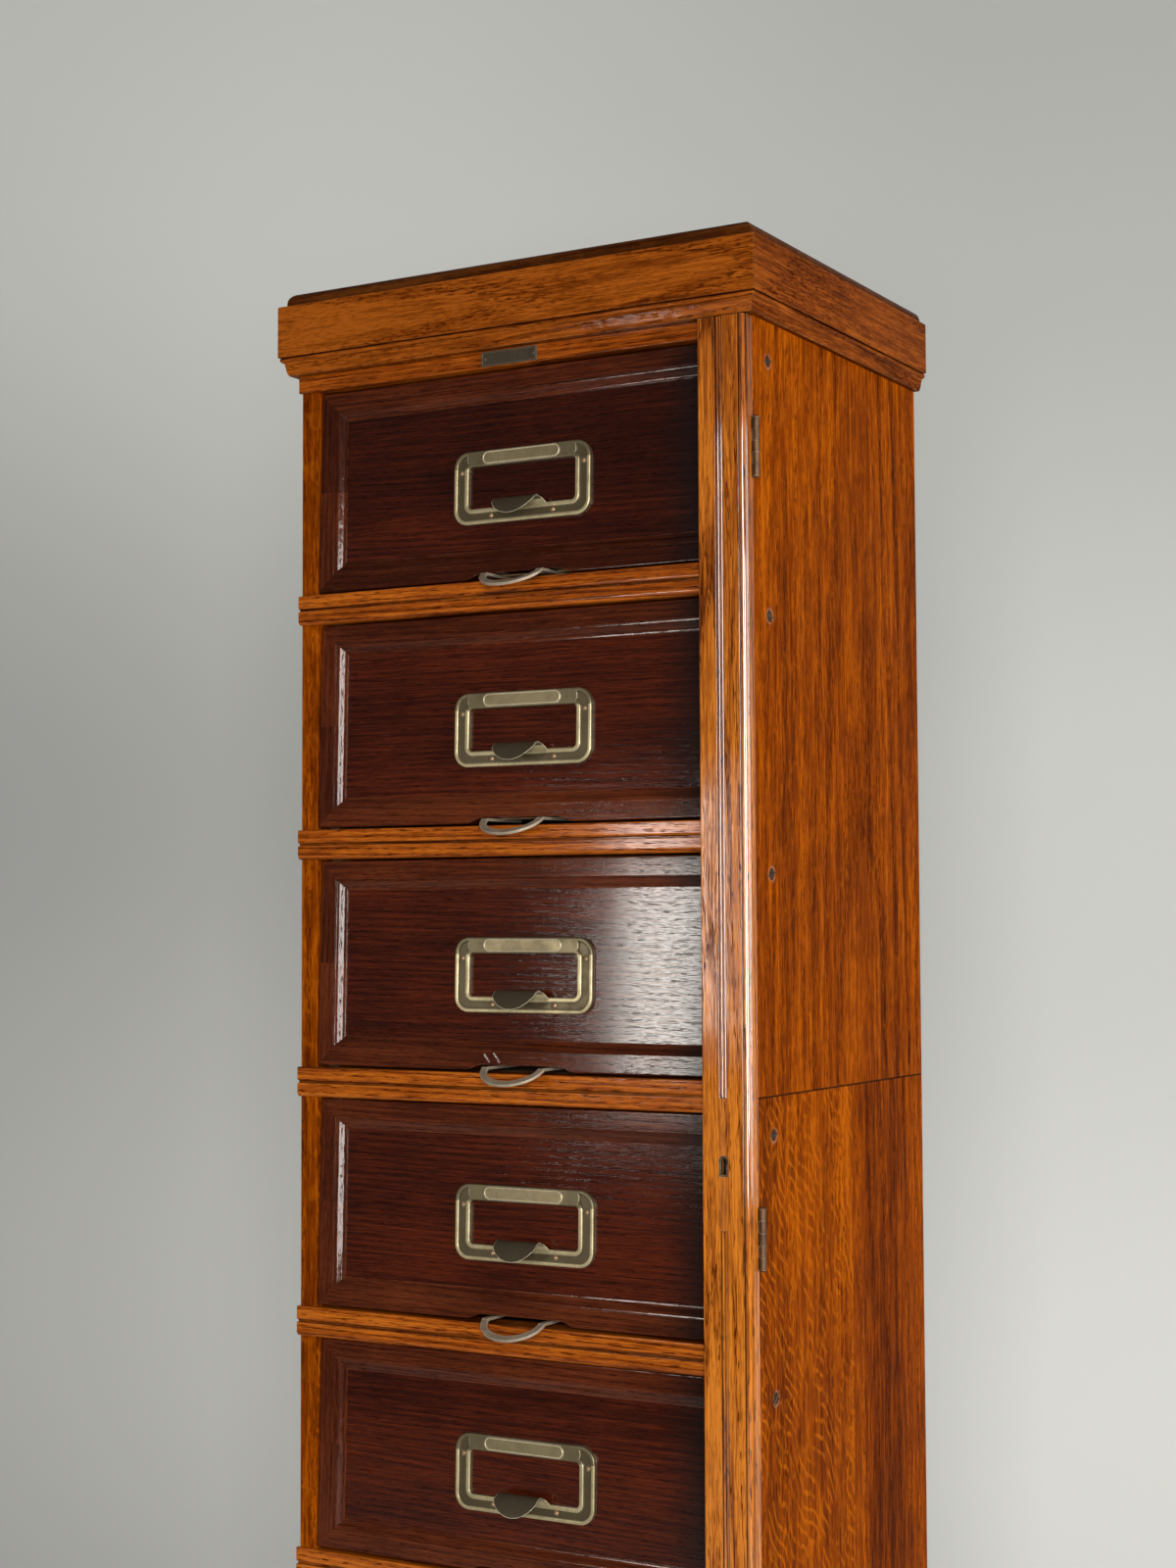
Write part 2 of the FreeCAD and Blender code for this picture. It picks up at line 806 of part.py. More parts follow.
def make_stile():
    plain_low = float(key_height) - num("plain_length") / 2
    plain_high = float(key_height) + num("plain_length") / 2
    stretches = (
        (True, float(stile_bottom), plain_low),
        (False, plain_low, plain_high),
        (True, plain_high, float(stile_top)),
    )
    stile = None
    for reeded, low, high in stretches:
        length = stile_face(reeded).extrude(Vector(0, 0, high - low))
        length.translate(Vector(0, 0, low))
        stile = length if stile is None else stile.fuse(length)
    stile = stile.removeSplitter()
    face_y = float(stile_back) - num("stile_thickness")
    inset_y = face_y + num("escutcheon_depth")
    wall = num("escutcheon_wall")
    outer = key_shape(wall, face_y, inset_y)
    key_hole = key_shape(0, face_y - 1, float(lock_low[1]))
    blank = formed("stile_blank", stile.cut(outer).cut(key_hole))
    leaf_room = leaf_boards("stile_mortise", stile_back - dim("leaf_thickness"), stile_back)
    lock_room = board("lock_room", lock_low, lock_high)
    node(cut("locking_stile", blank, group("stile_cutters", leaf_room + [lock_room])), "locking_stile")
    node(formed("escutcheon", outer.cut(key_hole)), "escutcheon")


make_stile()


# Butt hinges: each leaf is a plate with knuckles round the pin, the case leaf has the odd ones.
hinge_x = half_width + dim("hinge_stand") + dim("barrel_radius")
hinge_y = front - dim("hinge_gap") / 2


def hinge_leaf(height, near, far, first):
    bottom = float(height) - num("hinge_height") / 2
    knuckle = num("hinge_height") / knuckle_count
    gap = num("knuckle_gap") / 2
    side_x = float(half_width)
    axis_x = float(hinge_x)
    axis_y = float(hinge_y)
    thickness = far - near
    plate_low = Vector(side_x - num("leaf_width"), near, bottom)
    leaf = Part.makeBox(num("leaf_width"), thickness, num("hinge_height"), plate_low)
    for index in range(first, knuckle_count, 2):
        low = bottom + index * knuckle + gap
        length = knuckle - 2 * gap
        arm = Part.makeBox(axis_x - side_x, thickness, length, Vector(side_x, near, low))
        barrel = Part.makeCylinder(num("barrel_radius"), length, Vector(axis_x, axis_y, low))
        leaf = leaf.fuse(arm).fuse(barrel)
    bore_radius = num("hinge_pin_radius") + num("hinge_pin_play")
    bore = Part.makeCylinder(bore_radius, 2 * num("hinge_height"), Vector(axis_x, axis_y, bottom - knuckle))
    return leaf.cut(bore).removeSplitter()


# The pin's heads sit on the outer ends of the case leaf's barrels.
def hinge_pin(height):
    length = num("hinge_height") - num("knuckle_gap")
    foot = Vector(float(hinge_x), float(hinge_y), float(height) - length / 2)
    shaft = Part.makeCylinder(num("hinge_pin_radius"), length, foot)
    head_radius = num("barrel_radius")
    head_height = num("hinge_pin_head")
    low_head = Part.makeCone(head_radius / 2, head_radius, head_height, foot - Vector(0, 0, head_height))
    high_head = Part.makeCone(head_radius, head_radius / 2, head_height, foot + Vector(0, 0, length))
    return shaft.fuse(low_head).fuse(high_head)


def make_hinges():
    case_leaves = []
    stile_leaves = []
    pins = []
    thickness = num("leaf_thickness")
    for height in hinge_heights:
        case_leaves.append(hinge_leaf(height, float(front), float(front) + thickness, 0))
        stile_leaves.append(hinge_leaf(height, float(stile_back) - thickness, float(stile_back), 1))
        pins.append(hinge_pin(height))
    node(formed("hinge_case_leaves", Part.makeCompound(case_leaves)), "hinge_case_leaves")
    node(formed("hinge_stile_leaves", Part.makeCompound(stile_leaves)), "hinge_stile_leaves")
    node(formed("hinge_pins", Part.makeCompound(pins)), "hinge_pins")


make_hinges()


# Drawer fronts, drawn above the top of the rail that the drawer stands on.
front_left = -inner + dim("front_gap")
front_right = stile_clear
front_low = dim("front_lift")
front_high = dim("opening_height") - dim("front_top_gap")
front_face = front + dim("front_set")
front_rear = front_face + dim("front_thickness")
panel_set = dim("frame_ogee_depth") + dim("frame_lip")
panel_face = front_face + panel_set
frame_width = dim("frame_flat") + dim("frame_ogee")
fittings_x = float(dim("fittings_offset"))
lean_angle = math.degrees(math.atan2(num("front_lean"), float(front_high - front_low)))


# A front leans back from its lower edge, with its panel and label holder.
def leaning(shape):
    turned = shape.copy()
    turned.rotate(Vector(0, float(front_face), float(front_low)), Vector(1, 0, 0), -lean_angle)
    return Part.makeCompound(turned.Solids)


# Frame member section: across from the outer edge, then depth from the face.
def member_face(at):
    depth = num("front_thickness")
    arris = num("front_arris")
    flat = num("frame_flat")
    width = float(frame_width)
    rebate = width - num("frame_rebate")
    ogee_depth = num("frame_ogee_depth")
    quirk = num("frame_quirk")
    seat = float(panel_set)
    across = at(1, 0) - at(0, 0)
    return face_of([
        line(at(0, depth), at(0, arris)),
        quarter(at(0, arris), at(0, 0), at(arris, 0)),
        line(at(arris, 0), at(flat, 0)),
        line(at(flat, 0), at(flat, quirk)),
        s_curve(at(flat, quirk), at(width, ogee_depth), across),
        line(at(width, ogee_depth), at(width, seat)),
        line(at(width, seat), at(rebate, seat)),
        line(at(rebate, seat), at(rebate, depth)),
        line(at(rebate, depth), at(0, depth)),
    ])


# Notch in the lower edge that lets the pull out, with a soft S at each end.
def notch_shape(low):
    half = num("notch_width") / 2
    end = num("notch_end")
    roof = low + num("notch_height")
    below = low - num("front_lift")
    near_y = float(front_face) - num("front_lift")
    run = Vector(1, 0, 0)

    def at(across, z):
        return Vector(fittings_x + across, near_y, z)

    outline = face_of([
        line(at(-half, below), at(-half, low)),
        s_curve(at(-half, low), at(-half + end, roof), run),
        line(at(-half + end, roof), at(half - end, roof)),
        s_curve(at(half - end, roof), at(half, low), run),
        line(at(half, low), at(half, below)),
        line(at(half, below), at(-half, below)),
    ])
    return outline.extrude(Vector(0, num("front_thickness") + 2 * num("front_lift"), 0))


# Left, top and bottom members, mitred at the left corners, and a slim batten at the stile's end.
def front_frame_shape():
    left = float(front_left)
    right = float(front_right)
    low = float(front_low)
    high = float(front_high)
    face_y = float(front_face)
    low_corner = Vector(left, 0, low)
    high_corner = Vector(left, 0, high)
    upright = member_face(lambda across, depth: Vector(left + across, face_y + depth, low))
    upright = upright.extrude(Vector(0, 0, high - low))
    upright = upright.cut(beyond(low_corner, Vector(1, 0, -1))).cut(beyond(high_corner, Vector(1, 0, 1)))
    bottom = member_face(lambda across, depth: Vector(left, face_y + depth, low + across))
    bottom = bottom.extrude(Vector(right - left, 0, 0)).cut(beyond(low_corner, Vector(-1, 0, 1)))
    bottom = bottom.cut(notch_shape(low))
    top = member_face(lambda across, depth: Vector(left, face_y + depth, high - across))
    top = top.extrude(Vector(right - left, 0, 0)).cut(beyond(high_corner, Vector(-1, 0, -1)))
    batten_low = low + float(frame_width)
    batten_height = high - low - 2 * float(frame_width)
    width = num("batten_width")
    depth = num("front_thickness")
    batten = Part.makeBox(width, depth, batten_height, Vector(right - width, face_y, batten_low))
    rebate = Part.makeBox(
        num("batten_rebate"), depth, batten_height,
        Vector(right - width, face_y + float(panel_set), batten_low),
    )
    return Part.makeCompound([upright, bottom, top, batten.cut(rebate)])


# A plate with rounded corners, standing upright about a centre, from one depth to another.
def rounded_plate(centre_z, width, height, corner, near_y, far_y):
    largest_soft = 0.49
    half = width / 2
    tall = height / 2
    soft = min(corner, largest_soft * height, largest_soft * width)

    def at(across, up):
        return Vector(fittings_x + across, near_y, centre_z + up)

    outline = face_of([
        line(at(-half + soft, -tall), at(half - soft, -tall)),
        quarter(at(half - soft, -tall), at(half, -tall), at(half, -tall + soft)),
        line(at(half, -tall + soft), at(half, tall - soft)),
        quarter(at(half, tall - soft), at(half, tall), at(half - soft, tall)),
        line(at(half - soft, tall), at(-half + soft, tall)),
        quarter(at(-half + soft, tall), at(-half, tall), at(-half, tall - soft)),
        line(at(-half, tall - soft), at(-half, -tall + soft)),
        quarter(at(-half, -tall + soft), at(-half, -tall), at(-half + soft, -tall)),
    ])
    return outline.extrude(Vector(0, far_y - near_y, 0))


# Rounds the edges that lie on a front plane.
def softened(shape, plane_y, radius):
    near = 0.001
    edges = [edge for edge in shape.Edges if all(abs(point.Y - plane_y) < near for point in edge.Vertexes)]
    return shape.makeFillet(radius, edges)


# A low round head that stands on a face looking forwards.
def dome(x, face_y, z, radius, rise):
    ball = (radius * radius + rise * rise) / (2 * rise)
    sphere = Part.makeSphere(ball, Vector(x, face_y - rise + ball, z))
    return sphere.common(beyond(Vector(x, face_y, z), Vector(0, -1, 0)))


# Finger tongue: a strip that rises from the holder's lower bar to a crest and curls forwards and down.
def tongue_shape(root_y, root_z):
    thickness = num("tongue_thickness")
    width = num("tongue_width")
    flare = num("tongue_flare")
    rise = num("tongue_rise")
    crest = num("tongue_crest")
    reach = num("tongue_reach")
    drop = num("tongue_drop")
    leg_upright = 0.6
    leg_level = 0.5
    lip_level = 0.4
    lip_steep = 0.2
    straight_share = 0.3

    def at(forward, up):
        return Vector(fittings_x, root_y - forward, root_z + up)

    def bend(*poles):
        curve = Part.BezierCurve()
        curve.setPoles(list(poles))
        return curve.toShape()

    def leg(inset):
        low = at(inset, 0)
        high = at(crest, rise - inset)
        return bend(low, at(inset, (rise - inset) * leg_upright), at(crest * leg_level, rise - inset), high)

    def lip(inset):
        high = at(crest, rise - inset)
        tip = at(reach - inset, -drop)
        run = reach - inset - crest
        level_end = at(crest + run * lip_level, rise - inset)
        steep_start = at(reach - inset - run * lip_steep, 0)
        return bend(high, level_end, steep_start, tip)

    crest_edge = line(at(crest, rise), at(crest, rise - thickness))
    leg_face = face_of([leg(0), crest_edge, leg(thickness), line(at(thickness, 0), at(0, 0))])
    lip_face = face_of([lip(0), crest_edge, lip(thickness), line(at(reach - thickness, -drop), at(reach, -drop))])
    foot_half = width / 2 + flare
    leg_solid = leg_face.extrude(Vector(2 * foot_half, 0, 0))
    leg_solid.translate(Vector(-foot_half, 0, 0))
    for sign in (-1, 1):
        foot = at(0, 0) + Vector(sign * foot_half, 0, 0)
        leg_solid = leg_solid.cut(beyond(foot, Vector(sign * rise, 0, flare)))
    lip_solid = lip_face.extrude(Vector(width, 0, 0))
    lip_solid.translate(Vector(-width / 2, 0, 0))
    side_z = root_z + rise - straight_share * (rise + drop)
    roof_z = root_z + rise + thickness
    tip_z = root_z - drop
    left_x = fittings_x - width / 2
    right_x = fittings_x + width / 2
    outline = face_of([
        line(Vector(left_x, root_y, roof_z), Vector(right_x, root_y, roof_z)),
        line(Vector(right_x, root_y, roof_z), Vector(right_x, root_y, side_z)),
        arc(Vector(right_x, root_y, side_z), Vector(fittings_x, root_y, tip_z), Vector(left_x, root_y, side_z)),
        line(Vector(left_x, root_y, side_z), Vector(left_x, root_y, roof_z)),
    ])
    lip_solid = lip_solid.common(outline.extrude(Vector(0, -2 * reach, 0)))
    return leg_solid.fuse(lip_solid)


# Label holder: rimmed plate round a window, flat upper bar with a bare plaque, tongue, and four rivets.
def label_holder_shape():
    seat_y = float(panel_face)
    plate_y = seat_y - num("holder_plate")
    rim_y = seat_y - num("holder_rim_height")
    centre_z = num("opening_height") / 2 - num("holder_drop")
    width = num("holder_width")
    height = num("holder_height")
    corner = num("holder_corner")
    rim = num("holder_rim")
    inner_rim = num("holder_inner_rim")
    window_width = width - 2 * num("holder_side_bar")
    window_height = height - 2 * num("holder_bar")
    window_soft = num("window_corner")

    def ring(outer, outer_soft, band):
        across, up = outer
        whole = rounded_plate(centre_z, across, up, outer_soft, rim_y, seat_y)
        inner_soft = max(outer_soft - band, outer_soft / 5)
        hole = rounded_plate(centre_z, across - 2 * band, up - 2 * band, inner_soft, rim_y, seat_y)
        return softened(whole.cut(hole), rim_y, num("holder_rim_soft"))

    window = rounded_plate(centre_z, window_width, window_height, window_soft, rim_y, seat_y)
    plate = rounded_plate(centre_z, width, height, corner, plate_y, seat_y).cut(window)
    outer_ring = ring((width, height), corner, rim)
    inner_outer = (window_width + 2 * inner_rim, window_height + 2 * inner_rim)
    inner_ring = ring(inner_outer, window_soft + inner_rim, inner_rim)
    bar_low = centre_z + window_height / 2 + inner_rim / 2
    bar_high = centre_z + height / 2 - rim / 2
    bar_z = (bar_low + bar_high) / 2
    bar_width = width - 2 * corner
    upper_bar = rounded_plate(bar_z, bar_width, bar_high - bar_low, window_soft, rim_y, seat_y)
    plaque_y = rim_y - num("plaque_raise")
    plaque_z = centre_z + height / 2 - num("holder_bar") / 2
    plaque_height = num("plaque_height")
    plaque = rounded_plate(plaque_z, num("plaque_width"), plaque_height, plaque_height / 2, plaque_y, seat_y)
    plaque = softened(plaque, plaque_y, num("plaque_soft"))
    window_low = centre_z - window_height / 2
    tongue = tongue_shape(rim_y + num("tongue_thickness"), window_low - inner_rim / 2)
    holder = plate.fuse([outer_ring, inner_ring, upper_bar, plaque, tongue])
    side_x = width / 2 - num("holder_side_bar") / 2 - (rim - inner_rim) / 2
    low_z = centre_z - height / 2 + num("holder_bar") / 2
    low_x = num("rivet_apart") / 2
    places = [(sign * side_x, centre_z + num("rivet_high")) for sign in (-1, 1)]
    places += [(sign * low_x, low_z) for sign in (-1, 1)]
    rivets = []
    for across, z in places:
        x = fittings_x + across
        shank = Part.makeCylinder(
            num("rivet_shank_radius"), num("holder_plate"), Vector(x, plate_y, z), Vector(0, 1, 0)
        )
        holder = holder.cut(shank)
        rivets.append(dome(x, plate_y, z, num("rivet_radius"), num("rivet_rise")).fuse(shank))
    return Part.makeCompound([holder.removeSplitter()] + rivets)


# Loop pull: a flat band whose legs are screwed under the drawer bottom, and whose half oval hangs before the rail.
def pull_shape():
    half = num("pull_width") / 2
    band = num("pull_band")
    thickness = num("pull_thickness")
    top_z = num("box_bottom_lift")
    bend_y = float(front) - num("rail_proud") - num("pull_clear")
    leg_rear = float(front_rear) + num("pull_leg")
    slope = math.atan2(num("pull_down"), num("pull_forward"))
    length = math.hypot(num("pull_down"), num("pull_forward"))

    def bow(across, along):
        oval = Part.Ellipse(Vector(0, 0, 0), across, along)
        edge = Part.Arc(oval, math.pi, 2 * math.pi).toShape()
        return face_of([edge, line(Vector(across, 0, 0), Vector(-across, 0, 0))])

    loop = bow(half, length).cut(bow(half - band, length - band)).extrude(Vector(0, 0, -thickness))
    loop.rotate(Vector(0, 0, 0), Vector(1, 0, 0), math.degrees(slope))
    loop.translate(Vector(fittings_x, bend_y, top_z))
    pull = loop
    screws_under = []
    for sign in (-1, 1):
        low_x = fittings_x + (half - band if sign > 0 else -half)
        leg = Part.makeBox(band, leg_rear - bend_y, thickness, Vector(low_x, bend_y, top_z - thickness))
        roll = Part.makeCylinder(thickness, band, Vector(low_x, bend_y, top_z - thickness), Vector(1, 0, 0))
        roll = roll.common(beyond(Vector(0, 0, top_z - thickness), Vector(0, 0, 1)))
        roll = roll.common(beyond(Vector(0, bend_y, 0), Vector(0, -1, 0)))
        pull = pull.fuse([leg, roll])
        screw_x = low_x + band / 2
        screw_y = leg_rear - num("pull_screw_from_end")
        under_z = top_z - thickness
        head_radius = num("pull_screw_radius")
        neck_radius = num("pull_screw_neck_radius")
        screw = Part.makeCone(head_radius, neck_radius, thickness, Vector(screw_x, screw_y, under_z))
        pull = pull.cut(screw)
        screws_under.append(screw)
    return Part.makeCompound([pull.removeSplitter()] + screws_under)


# Drawer box: two sides, a back and a bottom, behind the front.
box_left = -inner + dim("box_play")
box_right = stile_left - dim("box_play")
box_rear = back_inner - dim("box_back_gap")


# The space that the leaning front takes, which the sides and the bottom are cut to.
def front_space():
    tall = num("opening_height")
    thickness = num("front_thickness")
    corner = Vector(float(front_left) - thickness, float(front_face) - thickness, float(front_low) - tall)
    return leaning(Part.makeBox(num("case_width"), 2 * thickness, 3 * tall, corner))


def drawer_box(prefix, front_room):
    thickness = dim("box_side")
    left_in = box_left + thickness
    right_in = box_right - thickness
    start = front_face + dim("front_thickness") / 2
    ride = dim("box_ride")
    top = dim("opening_height") - dim("kicker_height") - dim("box_top_gap")
    bottom = dim("box_bottom_lift")
    bottom_top = bottom + dim("box_bottom")
    left = board(f"{prefix}_left_blank", (box_left, start, ride), (left_in, box_rear, top))
    right = board(f"{prefix}_right_blank", (right_in, start, ride), (box_right, box_rear, top))
    base = board(f"{prefix}_base_blank", (left_in, start, bottom), (right_in, box_rear, bottom_top))
    rear_low = (left_in, box_rear - thickness, bottom_top)
    rear = board(f"{prefix}_rear", rear_low, (right_in, box_rear, top - dim("box_back_drop")))
    boards = [rear]
    for name, blank in (("side_left", left), ("side_right", right), ("base", base)):
        boards.append(cut(f"{prefix}_{name}", blank, front_room))
    return group(f"{prefix}_box", boards)


def panel_shape():
    margin = float(frame_width) - num("frame_rebate") + num("panel_play")
    left = float(front_left) + margin
    right = float(front_right) - num("batten_width") + num("batten_rebate") - num("panel_play")
    low = float(front_low) + margin
    high = float(front_high) - margin
    return Part.makeBox(right - left, num("panel_thickness"), high - low, Vector(left, float(panel_face), low))


def make_drawers():
    frame = leaning(front_frame_shape())
    panel = leaning(panel_shape())
    holder = leaning(label_holder_shape())
    pull = pull_shape()
    front_room = formed("front_room", front_space())
    for number in drawer_numbers:
        prefix = f"drawer_{number}"
        base = rail_top(number)
        node(formed(f"{prefix}_front_frame", frame, base), f"{prefix}_front_frame")
        node(formed(f"{prefix}_label_holder", holder, base), f"{prefix}_label_holder")
        node(formed(f"{prefix}_pull", pull, base), f"{prefix}_pull")
        node(formed(f"{prefix}_panel", panel, base), f"{prefix}_panel")
        box = drawer_box(prefix, front_room)
        box.setExpression("Placement.Base.z", base.text)
        node(box, f"{prefix}_box")


make_drawers()


# Bare nameplate on the top rail, held by two small pins.
def make_nameplate():
    face_y = float(front) - num("rail_proud")
    thickness = num("nameplate_thickness")
    width = num("nameplate_width")
    height = num("nameplate_height")
    left = -num("nameplate_offset") - width / 2
    low = num("rail_showing") / 2 - height / 2
    plate = Part.makeBox(width, thickness, height, Vector(left, face_y - thickness, low))
    pins = []
    for across in (num("nameplate_pin_from_end"), width - num("nameplate_pin_from_end")):
        radius = num("nameplate_pin_radius")
        pins.append(dome(left + across, face_y - thickness, low + height / 2, radius, radius / 2))
    node(formed("nameplate", Part.makeCompound([plate] + pins), top_rail_bottom), "nameplate")


make_nameplate()

doc.recompute()
for item in doc.Objects:
    if "Invalid" in item.State or "Error" in item.State:
        raise RuntimeError(f"{item.Label} failed: {item.State}")
for item in nodes:
    if item.Shape.isNull() or not item.Shape.isValid():
        raise RuntimeError(f"{item.Label} has no valid shape")

os.makedirs("parts", exist_ok=True)
for item in nodes:
    item.Shape.exportStep(f"parts/{item.Label}.step")
print(f"{len(nodes)} nodes, {sum(len(item.Shape.Solids) for item in nodes)} solids")
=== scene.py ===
import bmesh
import bpy
import json
import math
import random
from collections import Counter
from mathutils import Matrix, Vector


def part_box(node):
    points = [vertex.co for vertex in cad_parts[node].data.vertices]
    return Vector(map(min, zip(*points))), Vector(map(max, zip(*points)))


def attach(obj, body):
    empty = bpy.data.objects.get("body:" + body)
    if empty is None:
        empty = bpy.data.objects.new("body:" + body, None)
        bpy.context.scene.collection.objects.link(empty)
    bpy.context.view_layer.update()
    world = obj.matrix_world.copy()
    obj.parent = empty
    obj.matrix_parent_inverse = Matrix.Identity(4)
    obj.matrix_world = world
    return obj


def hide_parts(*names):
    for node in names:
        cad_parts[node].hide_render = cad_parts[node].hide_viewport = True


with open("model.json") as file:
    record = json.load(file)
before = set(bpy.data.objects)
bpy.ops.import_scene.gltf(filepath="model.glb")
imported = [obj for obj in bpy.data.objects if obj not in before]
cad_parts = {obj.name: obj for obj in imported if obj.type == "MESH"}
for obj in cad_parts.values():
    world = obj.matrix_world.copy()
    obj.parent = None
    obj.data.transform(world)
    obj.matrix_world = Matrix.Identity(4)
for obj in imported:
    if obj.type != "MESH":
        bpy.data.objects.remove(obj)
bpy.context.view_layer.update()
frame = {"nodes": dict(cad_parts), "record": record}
nodes = frame["nodes"]
bodyOf = {node: body for body, members in frame["record"]["behaviour"]["bodies"].items() for node in members}
slotOf = {part["node"]: part["material_slot"] for part in frame["record"]["subparts"]}
drawers = range(1, 8)
print("frame loaded:", len(nodes), "nodes")

# places that many pieces share, read from the frame
sideLow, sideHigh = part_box("upper_side_right")
halfWidth = sideHigh.x
caseFront = sideLow.y
seam = sideLow.z
boxRide = 0.0003  # the drawer boxes ride this far above their rails
railTop = {number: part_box(f"drawer_{number}_box")[0].z - boxRide for number in drawers}
pitch = railTop[1] - railTop[2]
railReach = 0.026  # a little more than a rail, so that each rail counts with the drawer above it
fronts = {"lean": 0.0291, "foot": 0.002, "head": 0.1736}  # fall back for each unit of height, edges over the rail
mitres = {"cornice": 0.17, "plinth": 0.172}  # how far in front of the middle the corners are cut
boxSide = 0.0101  # a shade more than the thickness of a drawer's side
backBoards = 5
aboveSeam = 7.0  # back boards above the seam are numbered from here, so that each has grain of its own


# a value in a node tree: sums written with it become nodes of that tree
class Wire:
    def __init__(self, socket):
        self.socket = socket
        self.tree = socket.id_data

    def __add__(self, other):
        return maths("ADD", self, other)

    def __sub__(self, other):
        return maths("SUBTRACT", self, other)

    def __rsub__(self, other):
        return maths("SUBTRACT", other, self)

    def __mul__(self, other):
        return maths("MULTIPLY", self, other)

    def __truediv__(self, other):
        return maths("DIVIDE", self, other)

    def __gt__(self, other):
        return maths("GREATER_THAN", self, other)

    def __lt__(self, other):
        return maths("LESS_THAN", self, other)

    def __abs__(self):
        return maths("ABSOLUTE", self)

    def clamped(self):
        self.socket.node.use_clamp = True
        return self


# node tree helpers
def feed(value, socket):
    if isinstance(value, Wire):
        value.tree.links.new(value.socket, socket)
    else:
        socket.default_value = value


def newNode(tree, kind, inputs=None, **settings):
    node = tree.nodes.new(kind)
    for name, value in settings.items():
        setattr(node, name, value)
    for key, value in (inputs or {}).items():
        feed(value, node.inputs[key])
    return node


def addNode(tree, kind, inputs=None, output=0, **settings):
    return Wire(newNode(tree, kind, inputs, **settings).outputs[output])


def named(sockets):
    return {socket.name: Wire(socket) for socket in sockets}


# the first wire among the values settles whether it is plain or vector maths
def maths(operation, *values):
    first = next(value for value in values if isinstance(value, Wire))
    kind = "ShaderNodeMath" if first.socket.type == "VALUE" else "ShaderNodeVectorMath"
    output = "Value" if operation in ("DOT_PRODUCT", "LENGTH", "DISTANCE") else 0
    return addNode(first.tree, kind, dict(enumerate(values)), output, operation=operation)


def combine(x, y, z):
    tree = next(value.tree for value in (x, y, z) if isinstance(value, Wire))
    return addNode(tree, "ShaderNodeCombineXYZ", {0: x, 1: y, 2: z})


def separate(vector):
    return [Wire(socket) for socket in newNode(vector.tree, "ShaderNodeSeparateXYZ", {0: vector}).outputs]


def noise(vector, scale, detail, roughness):
    inputs = {"Vector": vector, "Scale": scale, "Detail": detail, "Roughness": roughness}
    return addNode(vector.tree, "ShaderNodeTexNoise", inputs)


def smoothStep(value, low, high, toLow=0.0, toHigh=1.0):
    inputs = {0: value, 1: low, 2: high, 3: toLow, 4: toHigh}
    return addNode(value.tree, "ShaderNodeMapRange", inputs, interpolation_type="SMOOTHSTEP")


def mixColor(factor, first, second):
    first, second = (color if isinstance(color, Wire) else (*color, 1.0) for color in (first, second))
    return addNode(factor.tree, "ShaderNodeMix", {0: factor, 6: first, 7: second}, 2, data_type="RGBA")


def mixVector(factor, first, second):
    return addNode(factor.tree, "ShaderNodeMix", {0: factor, 4: first, 5: second}, 1, data_type="VECTOR")


def colorRamp(value, colors):
    ramp = newNode(value.tree, "ShaderNodeValToRGB", {0: value})
    ramp.color_ramp.elements.new(0.5)
    for element, color in zip(ramp.color_ramp.elements, colors):
        element.color = (*color, 1.0)
    return Wire(ramp.outputs[0])


# a finish that several materials share: it takes a place and plain numbers
def newGroup(name, inputs, outputs):
    group = bpy.data.node_groups.new(name, "ShaderNodeTree")
    group.interface.new_socket("Vector", in_out="INPUT", socket_type="NodeSocketVector")
    for label, default in inputs.items():
        group.interface.new_socket(label, in_out="INPUT", socket_type="NodeSocketFloat").default_value = default
    for label in outputs:
        kind = "NodeSocketVector" if label == "Normal" else "NodeSocketFloat"
        group.interface.new_socket(label, in_out="OUTPUT", socket_type=kind)
    return group, named(group.nodes.new("NodeGroupInput").outputs), group.nodes.new("NodeGroupOutput")


def place(tree, group, inputs):
    return named(newNode(tree, "ShaderNodeGroup", inputs, node_tree=group).outputs)


def feedAll(node, values):
    for label, value in values.items():
        feed(value, node.inputs[label])


